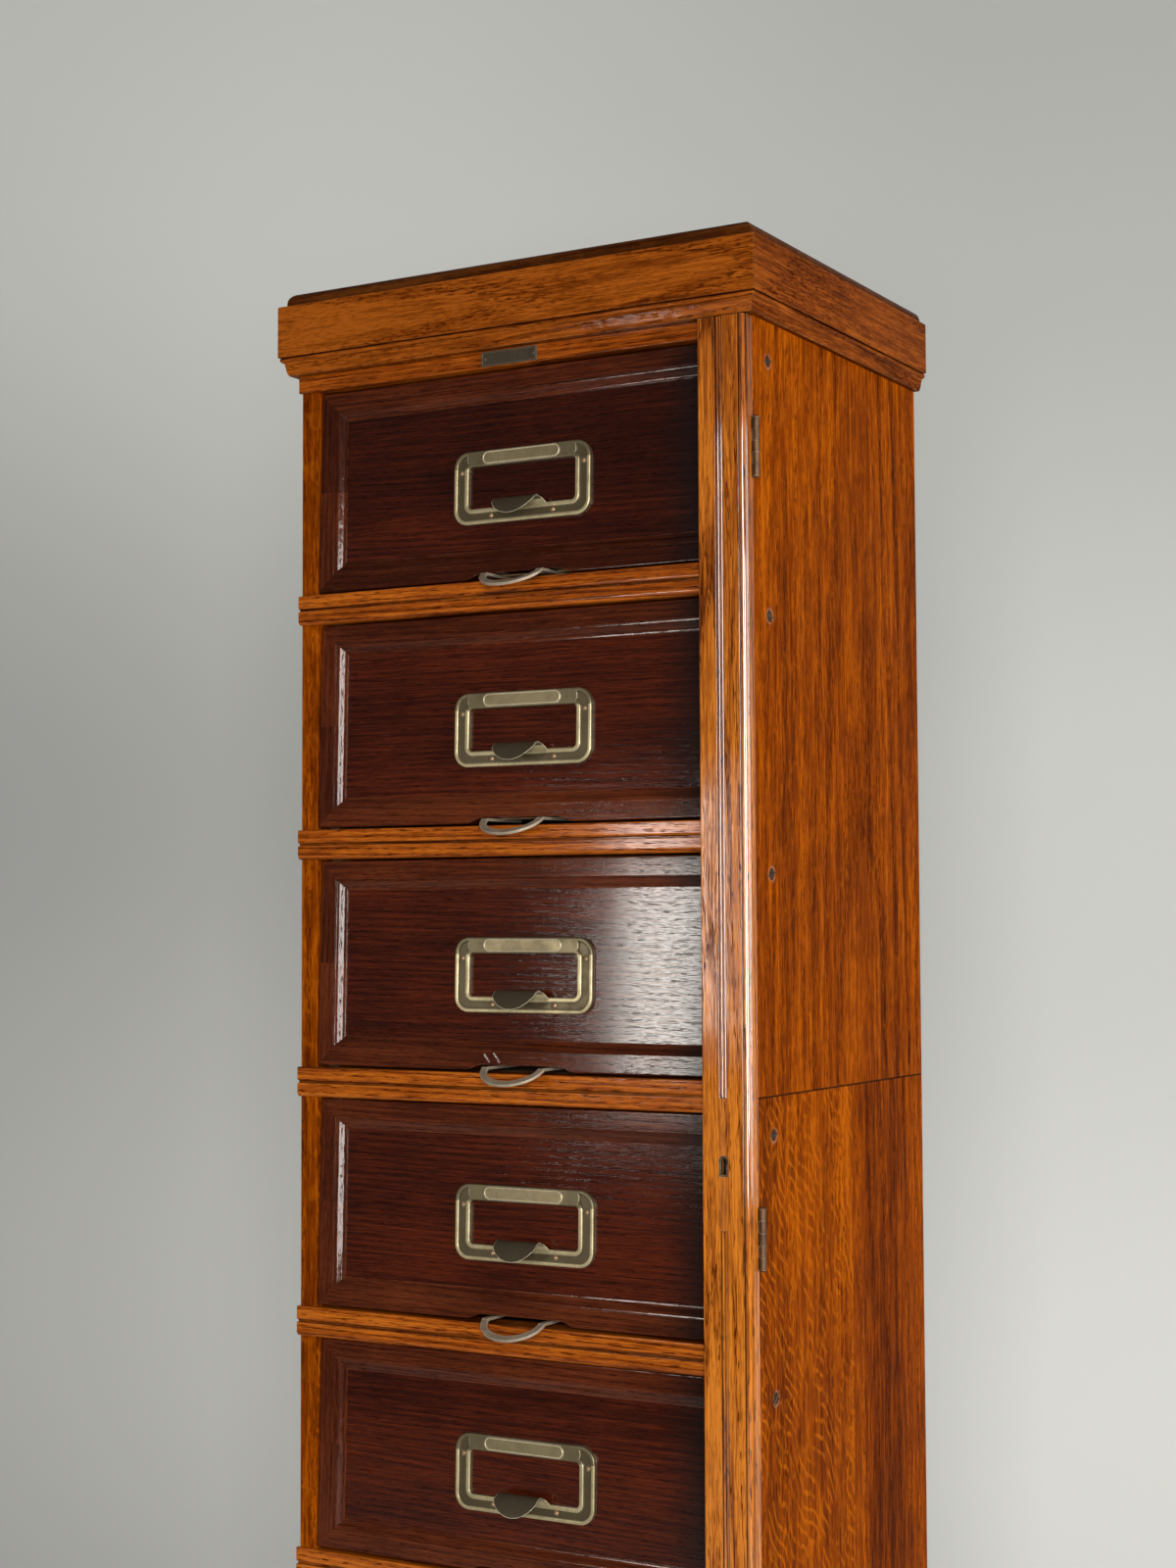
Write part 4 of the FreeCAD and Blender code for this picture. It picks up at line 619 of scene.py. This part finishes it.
plateLook = agedLook | {
    "metal": (0.075, 0.058, 0.038), "sheen": (0.13, 0.10, 0.068), "tarnish": (0.03, 0.02, 0.012),
    "wornAndHighlight": (0.20, 0.165, 0.115),
}
steel = makeMetal("steel", steelLook)
screwIron = makeMetal("screwIron", screwLook)
beadNickel = makeMetal("beadNickel", beadLook)
plateMetal = makeMetal("plateMetal", plateLook)
paint(drawerNodes("label_holder"), makeMetal("nickel", nickelLook))
paint(drawerNodes("pull"), makeMetal("agedNickel", agedLook))
paint(["nameplate"], plateMetal)
paint(["hinge_case_leaves", "hinge_stile_leaves", "hinge_pins"], makeMetal("darkBrass", brassLook))
paint(["escutcheon"], makeMetal("keyLiner", linerLook))
paint(["side_screws", "lock_staple", "lock_bolt"], steel)
paint(["lock_case"], makeMetal("blackIron", ironLook))
print("metal pieces painted")


# boards whose arrises are eased by hand
easing = {
    "segments": 2, "shortest": 0.004, "sharp": math.radians(40), "smooth": math.radians(50),
    "flat": math.radians(0.2), "weld": 2e-6,
    "boards": [(0.0008, ["cornice_frieze", "top_rail", "plinth"]),  # width of the easing, and where
               (0.0006, ["upper_side_left", "upper_side_right", "lower_side_left", "lower_side_right",
                         "drawer_runners"]),
               (0.0007, drawerNodes("box"))],
}


# the solids of a node follow each other, so one ends where every edge has met its twin
def splitSolids(mesh):
    mesh.calc_loop_triangles()
    keyOf = [tuple(round(value * 1e6) for value in vertex.co) for vertex in mesh.vertices]
    solids, current, unmatched = [], [], Counter()
    for triangle in mesh.loop_triangles:
        corners = [keyOf[index] for index in triangle.vertices]
        current.append([mesh.vertices[index].co.copy() for index in triangle.vertices])
        for start, end in zip(corners, corners[1:] + corners[:1]):
            if unmatched[end, start]:
                unmatched[end, start] -= 1
                if not unmatched[end, start]:
                    del unmatched[end, start]
            else:
                unmatched[start, end] += 1
        if not unmatched:
            solids.append(current)
            current = []
    return solids


def meshFrom(bm, name):
    mesh = bpy.data.meshes.new(name)
    bm.to_mesh(mesh)
    bm.free()
    return mesh


def easedSolid(triangles, width):
    bm = bmesh.new()
    for corners in triangles:
        bm.faces.new([bm.verts.new(corner) for corner in corners])
    bmesh.ops.remove_doubles(bm, verts=bm.verts, dist=easing["weld"])
    bmesh.ops.dissolve_limit(bm, angle_limit=easing["flat"], verts=bm.verts, edges=bm.edges)
    arrises = [edge for edge in bm.edges if edge.is_manifold and edge.is_convex
               and edge.calc_length() > easing["shortest"] and edge.calc_face_angle(0) > easing["sharp"]]
    bmesh.ops.bevel(bm, geom=arrises, offset=width, offset_type="OFFSET", segments=easing["segments"], profile=0.5,
                    affect="EDGES", clamp_overlap=True)
    return meshFrom(bm, "easedSolid")


def newObject(name, mesh, material):
    item = bpy.data.objects.new(name, mesh)
    bpy.context.scene.collection.objects.link(item)
    if material is not None:
        mesh.materials.clear()
        mesh.materials.append(material)
    return item


def bake(item):
    bpy.context.view_layer.update()
    evaluated = item.evaluated_get(bpy.context.evaluated_depsgraph_get())
    mesh = bpy.data.meshes.new_from_object(evaluated)
    item.modifiers.clear()
    item.data = mesh
    return item


def dress(item, body, slot, *stoodFor):
    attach(item, body)
    if stoodFor:
        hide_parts(*stoodFor)


def easeEdges(node, width):
    bm = bmesh.new()
    for triangles in splitSolids(nodes[node].data):
        part = easedSolid(triangles, width)
        bm.from_mesh(part)
        bpy.data.meshes.remove(part)
    mesh = meshFrom(bm, f"{node}_eased")
    mesh.shade_smooth()
    mesh.set_sharp_from_angle(angle=easing["smooth"])
    item = newObject(f"{node}_eased", mesh, nodes[node].data.materials[0])
    item.modifiers.new("faces", "WEIGHTED_NORMAL").keep_sharp = True
    dress(bake(item), bodyOf[node], slotOf[node], node)


for easedWidth, easedNodes in easing["boards"]:
    for node in easedNodes:
        easeEdges(node, easedWidth)
print("arrises eased")


# points that face a direction, for heads of screws and nails
def aimedPoints(name, points, aims, seed):
    mesh = bpy.data.meshes.new(name)
    mesh.from_pydata(points, [], [])
    mesh.attributes.new("aim", "FLOAT_VECTOR", "POINT")
    mesh.attributes.new("turn", "FLOAT", "POINT")
    draw = random.Random(seed)
    for index, direction in enumerate(aims):  # looked up by name: a layer made later moves the earlier ones
        mesh.attributes["aim"].data[index].vector = direction
        mesh.attributes["turn"].data[index].value = draw.uniform(0, math.pi) if seed else 0.0
    return newObject(name, mesh, None)


def newGeometryTree(name, sizes):
    tree = bpy.data.node_groups.new(name, "GeometryNodeTree")
    sockets = {"Geometry": "NodeSocketGeometry", **dict.fromkeys(sizes, "NodeSocketFloat"),
               "Material": "NodeSocketMaterial"}
    for label, kind in sockets.items():
        tree.interface.new_socket(label, in_out="INPUT", socket_type=kind)
    tree.interface.new_socket("Geometry", in_out="OUTPUT", socket_type="NodeSocketGeometry")
    return tree, named(tree.nodes.new("NodeGroupInput").outputs), tree.nodes.new("NodeGroupOutput")


def moveShape(shape, **inputs):
    return addNode(shape.tree, "GeometryNodeTransform", {"Geometry": shape, **inputs})


def scatterHeads(tree, enter, leave, head):
    aim = addNode(tree, "GeometryNodeInputNamedAttribute", {"Name": "aim"}, data_type="FLOAT_VECTOR")
    turn = addNode(tree, "GeometryNodeInputNamedAttribute", {"Name": "turn"}, data_type="FLOAT")
    facing = addNode(tree, "FunctionNodeAlignRotationToVector", {"Vector": aim}, axis="Z")
    spin = addNode(tree, "FunctionNodeAxisAngleToRotation", {"Axis": (0.0, 0.0, 1.0), "Angle": turn})
    rotation = addNode(tree, "FunctionNodeRotateRotation", {0: facing, 1: spin}, rotation_space="LOCAL")
    copies = addNode(tree, "GeometryNodeInstanceOnPoints",
                     {"Points": enter["Geometry"], "Instance": head, "Rotation": rotation})
    real = addNode(tree, "GeometryNodeRealizeInstances", {0: copies})
    painted = addNode(tree, "GeometryNodeSetMaterial", {"Geometry": real, "Material": enter["Material"]})
    feedAll(leave, {"Geometry": painted})
    return tree


# a ball pressed flat, for the crown of a screw or nail
def flatBall(tree, enter, sides):
    ball = addNode(tree, "GeometryNodeMeshUVSphere",
                   {"Segments": sides, "Rings": sides // 2, "Radius": enter["Radius"]})
    return moveShape(ball, Scale=combine(1.0, 1.0, enter["Rise"] / enter["Radius"]))


# slotted head: a low round button with a sawn slot
def makeScrewTree():
    tree, enter, leave = newGeometryTree("slottedScrews", ["Radius", "Thickness", "Rise", "Slot Width", "Slot Depth"])
    sides = 28
    stem = addNode(tree, "GeometryNodeMeshCylinder",
                   {"Vertices": sides, "Radius": enter["Radius"], "Depth": enter["Thickness"]})
    stem = moveShape(stem, Translation=combine(0.0, 0.0, enter["Thickness"] * -0.5))
    button = newNode(tree, "GeometryNodeMeshBoolean", {"Mesh 2": stem}, operation="UNION", solver="EXACT")
    feed(flatBall(tree, enter, sides), button.inputs["Mesh 2"])
    saw = addNode(tree, "GeometryNodeMeshCube",
                  {"Size": combine(enter["Radius"] * 3.0, enter["Slot Width"], enter["Slot Depth"] * 2.0)})
    saw = moveShape(saw, Translation=combine(0.0, 0.0, enter["Rise"]))
    head = addNode(tree, "GeometryNodeMeshBoolean", {"Mesh 1": Wire(button.outputs[0]), "Mesh 2": saw},
                   operation="DIFFERENCE", solver="EXACT")
    return scatterHeads(tree, enter, leave, head)


# nail head: a thin flattened dome
def makeNailTree():
    tree, enter, leave = newGeometryTree("nailHeads", ["Radius", "Rise"])
    return scatterHeads(tree, enter, leave, flatBall(tree, enter, sides=12))


screwTree = makeScrewTree()
nailTree = makeNailTree()
headSharp = math.radians(40)


def runTree(item, tree, values):
    modifier = item.modifiers.new("heads", "NODES")
    modifier.node_group = tree
    for socket in tree.interface.items_tree:
        if socket.in_out == "INPUT" and socket.name in values:
            modifier[socket.identifier] = values[socket.name]
    bake(item).data.set_sharp_from_angle(angle=headSharp)


def screwSizes(screw, material):
    return {"Radius": screw["radius"], "Thickness": screw["thickness"], "Rise": screw["rise"],
            "Slot Width": screw["slotWidth"], "Slot Depth": screw["slotDepth"], "Material": material}


# side screws: the slotted heads sit a little below the surface of the side boards
def makeSideScrews():
    points, aims = [], []
    for number in drawers:
        height = railTop[number] + sideScrew["opening"] - sideScrew["drop"]
        for sign in (-1, 1):
            points.append((sign * (halfWidth - sideScrew["sunk"]), caseFront + sideScrew["setback"], height))
            aims.append((sign, 0, 0))
    item = aimedPoints("side_screw_heads", points, aims, sideScrew["seed"])
    runTree(item, screwTree, screwSizes(sideScrew, screwIron))
    dress(item, "case", "steel", "side_screws")


makeSideScrews()
print("side screws set")

# three flush screws in each hinge leaf, seen when the stile stands open
leafScrew = {"radius": 0.0021, "rise": 0.00012, "thickness": 0.0008, "slotWidth": 0.0006, "slotDepth": 0.00035,
             "across": 0.0055, "stagger": 0.0022, "apart": 0.0155, "half": 0.023, "leafGap": 0.0006, "seed": 20}


def makeLeafScrews():
    leafLow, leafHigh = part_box("hinge_case_leaves")
    middle = (leafLow.z + leafHigh.z) / 2
    heights = (leafLow.z + leafScrew["half"], middle, leafHigh.z - leafScrew["half"])
    faces = {"hinge_case_leaves": (caseFront, -1), "hinge_stile_leaves": (caseFront - leafScrew["leafGap"], 1)}
    for seed, (node, (face, sign)) in enumerate(faces.items(), leafScrew["seed"]):
        points, aims = [], []
        for height in heights:
            for step in (-1, 0, 1):
                across = leafLow.x + leafScrew["across"] + (leafScrew["stagger"] if step == 0 else 0)
                points.append((across, face, height + step * leafScrew["apart"]))
                aims.append((0, sign, 0))
        item = aimedPoints(f"{node}_screws", points, aims, seed)
        runTree(item, screwTree, screwSizes(leafScrew, steel))
        dress(item, bodyOf[node], "steel")


makeLeafScrews()
print("hinge screws set")


# raised bead round a bare plate
def makeBeadTree():
    tree, enter, leave = newGeometryTree("plateBead", ["Width", "Height", "Corner", "Bead"])
    box = addNode(tree, "GeometryNodeCurvePrimitiveQuadrilateral",
                  {"Width": enter["Width"], "Height": enter["Height"]})
    soft = addNode(tree, "GeometryNodeFilletCurve", {"Curve": box, "Radius": enter["Corner"], "Count": 8},
                   mode="POLY")
    ring = addNode(tree, "GeometryNodeCurvePrimitiveCircle", {"Resolution": 8, "Radius": enter["Bead"]})
    bead = addNode(tree, "GeometryNodeCurveToMesh", {"Curve": soft, "Profile Curve": ring})
    return scatterHeads(tree, enter, leave, bead)


beadTree = makeBeadTree()
plaqueBead = {"width": 0.0722, "height": 0.0092, "corner": 0.0045, "radius": 0.0006, "across": 0.002, "up": 0.103,
              "setback": 0.0018}
nameBead = {"width": 0.0505, "height": 0.0098, "corner": 0.0006, "radius": 0.0004, "stand": 0.0052}


def makeBead(name, point, aim, bead, material):
    item = aimedPoints(name, [point], [aim], None)
    runTree(item, beadTree, {"Width": bead["width"], "Height": bead["height"], "Corner": bead["corner"],
                             "Bead": bead["radius"], "Material": material})
    return item


def makeBeads():
    up = plaqueBead["up"]
    face = caseFront + plaqueBead["setback"] + (up - fronts["foot"]) * fronts["lean"]
    for number in drawers:
        point = (plaqueBead["across"], face, railTop[number] + up)
        bead = makeBead(f"drawer_{number}_plaque_bead", point, (0, -1, fronts["lean"]), plaqueBead, beadNickel)
        dress(bead, f"drawer_{number}", "nickel")
    low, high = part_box("nameplate")
    point = ((low.x + high.x) / 2, caseFront - nameBead["stand"], (low.z + high.z) / 2)
    dress(makeBead("nameplate_bead", point, (0, -1, 0), nameBead, plateMetal), "case", "aged_nickel")


makeBeads()
print("plate beads set")

# matchboarded back: upright boards with V joints, nailed at each end and in the middle
backing = {"joint": 0.0026, "sunk": 0.0006, "nail": 0.0021, "nailRise": 0.0005, "nailEdge": 0.012,
           "seed": 31, "rows": (0.015, 0.28, 0.545), "rowsOf": 0.56}  # nail rows, as heights on a board rowsOf long


def makeBack():
    low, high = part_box("back_panels")
    face = high.y - backing["sunk"]
    width = (high.x - low.x) / backBoards
    bm = bmesh.new()
    points = []
    for bottom, top in ((low.z, seam), (seam, high.z)):
        for index in range(backBoards):
            left = low.x + index * width
            middle = Vector((left + width / 2, (low.y + face) / 2, (bottom + top) / 2))
            size = Matrix.Diagonal((width, face - low.y, top - bottom, 1.0))
            made = bmesh.ops.create_cube(bm, size=1.0, matrix=Matrix.Translation(middle) @ size)
            corners = set(made["verts"])
            arrises = [edge for edge in bm.edges if set(edge.verts) <= corners
                       and all(vertex.co.y > middle.y for vertex in edge.verts)
                       and abs(edge.verts[0].co.z - edge.verts[1].co.z) > width]
            bmesh.ops.bevel(bm, geom=arrises, offset=backing["joint"], offset_type="OFFSET", segments=1,
                            affect="EDGES")
            for edge in (left + backing["nailEdge"], left + width - backing["nailEdge"]):
                for row in backing["rows"]:
                    points.append((edge, face, bottom + row * (top - bottom) / backing["rowsOf"]))
    boards = newObject("back_boards", meshFrom(bm, "back_boards"), backOak)
    dress(boards, "case", "plain_oak", "back_panels")
    nails = aimedPoints("back_nails", points, [(0, 1, 0)] * len(points), backing["seed"])
    runTree(nails, nailTree, {"Radius": backing["nail"], "Rise": backing["nailRise"], "Material": steel})
    dress(nails, "case", "steel")


makeBack()
print("back set")


# plain pale floor that sweeps up behind the chest, with painted light and shade: a painted shadow of the chest at the
# left middle, painted light low on the right, painted shade near the camera, under the right lamp and far to the
# right
stage = {"behind": 1.25, "ahead": 9.0, "left": 4.5, "right": 5.0, "height": 4.2, "bend": 0.7, "steps": 14,
         "color": (0.585, 0.60, 0.59), "shadowHeight": 1.15, "roughness": 0.9, "specular": 0.1}
wallLightAndShade = {"plain": 1.08, "leftMiddle": -0.38, "leftLow": -0.20, "toRight": -0.11, "rightHigh": -0.13,
            "rightLow": 0.27, "cloud": 0.03, "nearCamera": 0.45, "underLight": -0.45, "beyond": -0.4}
view = {"place": (1.032, -1.8274, 1.0318), "yaw": 30.091, "pitch": 3.099, "roll": -0.242, "lens": 55.73,
        "sensor": 36.0}


def makeSweepPaper(forward, right):
    material, tree, shader, position = startMaterial("sweepPaper")
    across = maths("DOT_PRODUCT", position, right)
    ahead = maths("DOT_PRODUCT", position, forward)
    height = separate(position)[2]
    toRight = smoothStep(across, -0.5, 0.6)
    onFloor = smoothStep(height, 0.0, 0.5, 1.0, 0.0)
    # painted shadow of the chest at the left middle, painted light low on the right
    masks = {
        "leftMiddle": smoothStep(abs(height - stage["shadowHeight"]), 0.0, 0.9, 1.0, 0.0) * (1.0 - toRight),
        "leftLow": (smoothStep(height, 0.2, 1.0, 1.0, 0.0) - toRight).clamped(),
        "toRight": toRight,
        "rightHigh": toRight * smoothStep(height, 1.2, 1.9),
        "rightLow": toRight * smoothStep(height, 0.1, 1.0, 1.0, 0.0),
        "cloud": noise(position, 1.5, 3.0, 0.5)}
    level = wallLightAndShade["plain"]
    for name, mask in masks.items():
        level = mask * wallLightAndShade[name] + level
    # painted shade on the floor near the camera and under the right lamp, and on the wall far to the right
    level = level * smoothStep(ahead, -3.0, -1.0, wallLightAndShade["nearCamera"], 1.0)
    underLight = smoothStep(across, 0.7, 1.6) * onFloor
    beyond = (smoothStep(across, 0.95, 1.9) - onFloor).clamped()
    level = level * (underLight * wallLightAndShade["underLight"] + 1.0) * (beyond * wallLightAndShade["beyond"] + 1.0)
    paper = addNode(tree, "ShaderNodeVectorMath", {0: stage["color"], "Scale": level}, operation="SCALE")
    feedAll(shader, {"Base Color": paper, "Roughness": stage["roughness"], "Specular IOR Level": stage["specular"]})
    clear = addNode(tree, "ShaderNodeBsdfTransparent")  # seen from behind, the sweep lets the view through
    behind = addNode(tree, "ShaderNodeNewGeometry", output="Backfacing")
    either = addNode(tree, "ShaderNodeMixShader", {0: behind, 1: Wire(shader.outputs[0]), 2: clear})
    feedAll(tree.nodes["Material Output"], {"Surface": either})
    return material


def makeStage():
    yaw = math.radians(view["yaw"])
    forward = Vector((-math.sin(yaw), math.cos(yaw), 0))
    right = Vector((math.cos(yaw), math.sin(yaw), 0))
    floorEnd = stage["behind"] - stage["bend"]
    outline = [(-stage["ahead"], 0.0), (floorEnd, 0.0)]
    for step in range(1, stage["steps"] + 1):
        turn = math.pi / 2 * step / stage["steps"]
        outline.append((floorEnd + stage["bend"] * math.sin(turn), stage["bend"] * (1.0 - math.cos(turn))))
    outline.append((stage["behind"], stage["height"]))
    bm = bmesh.new()
    rows = []
    for away, height in outline:
        base = forward * away + Vector((0, 0, height))
        rows.append([bm.verts.new(base - right * stage["left"]), bm.verts.new(base + right * stage["right"])])
    for near, far in zip(rows, rows[1:]):
        bm.faces.new([near[0], near[1], far[1], far[0]])
    mesh = meshFrom(bm, "studioSweep")
    mesh.shade_smooth()
    newObject("studioSweep", mesh, makeSweepPaper(forward, right))


makeStage()


def makeCamera():
    yaw, pitch, roll = (math.radians(view[name]) for name in ("yaw", "pitch", "roll"))
    forward = Vector((-math.sin(yaw) * math.cos(pitch), math.cos(yaw) * math.cos(pitch), math.sin(pitch)))
    right = Vector((math.cos(yaw), math.sin(yaw), 0))
    up = right.cross(forward)
    turnedRight = math.cos(roll) * right + math.sin(roll) * up
    turnedUp = -math.sin(roll) * right + math.cos(roll) * up
    data = bpy.data.cameras.new("camera")
    data.sensor_fit = "VERTICAL"
    data.sensor_height = view["sensor"]
    data.lens = view["lens"]
    camera = bpy.data.objects.new("camera", data)
    bpy.context.scene.collection.objects.link(camera)
    turn = Matrix((turnedRight, turnedUp, -forward)).transposed().to_4x4()
    camera.matrix_world = Matrix.Translation(view["place"]) @ turn
    bpy.context.scene.camera = camera


makeCamera()

# soft boxes: behind the camera, to the right, and two small ones at the front left
lights = {
    "tallWindow": {"place": (1.75, -3.3, 1.25), "aim": (0.0, 0.0, 0.95), "size": (1.3, 1.7), "power": 112.0,
                   "color": (1.0, 0.97, 0.93)},
    "rightBox": {"place": (2.5, -0.4, 1.15), "aim": (0.1, 0.1, 0.95), "size": (1.2, 1.0), "power": 50.0,
                 "color": (1.0, 0.97, 0.93)},
    "leftBox": {"place": (-0.905, -2.07, 1.04), "aim": (0.17, -0.16, 1.0), "size": (0.135, 0.40), "power": 3.3,
                "color": (1.0, 0.95, 0.88)},
    "leftFade": {"place": (-0.69, -2.10, 1.04), "aim": (0.17, -0.16, 1.0), "size": (0.22, 0.50), "power": 0.45,
                 "color": (1.0, 0.95, 0.88)},
}
worldLight = {"color": (1.0, 0.98, 0.95), "strength": 0.08}


def makeLights():
    for name, look in lights.items():
        data = bpy.data.lights.new(name, "AREA")
        data.shape = "RECTANGLE"
        data.size, data.size_y = look["size"]
        data.energy = look["power"]
        data.color = look["color"]
        lamp = bpy.data.objects.new(name, data)
        bpy.context.scene.collection.objects.link(lamp)
        lamp.location = look["place"]
        lamp.rotation_euler = (Vector(look["aim"]) - Vector(look["place"])).to_track_quat("-Z", "Y").to_euler()
    world = bpy.data.worlds.new("studio")
    world.use_nodes = True
    bpy.context.scene.world = world
    feedAll(world.node_tree.nodes["Background"],
            {"Color": (*worldLight["color"], 1.0), "Strength": worldLight["strength"]})
    bpy.context.scene.view_settings.view_transform = "Standard"


makeLights()
print("stage, camera and lights set")
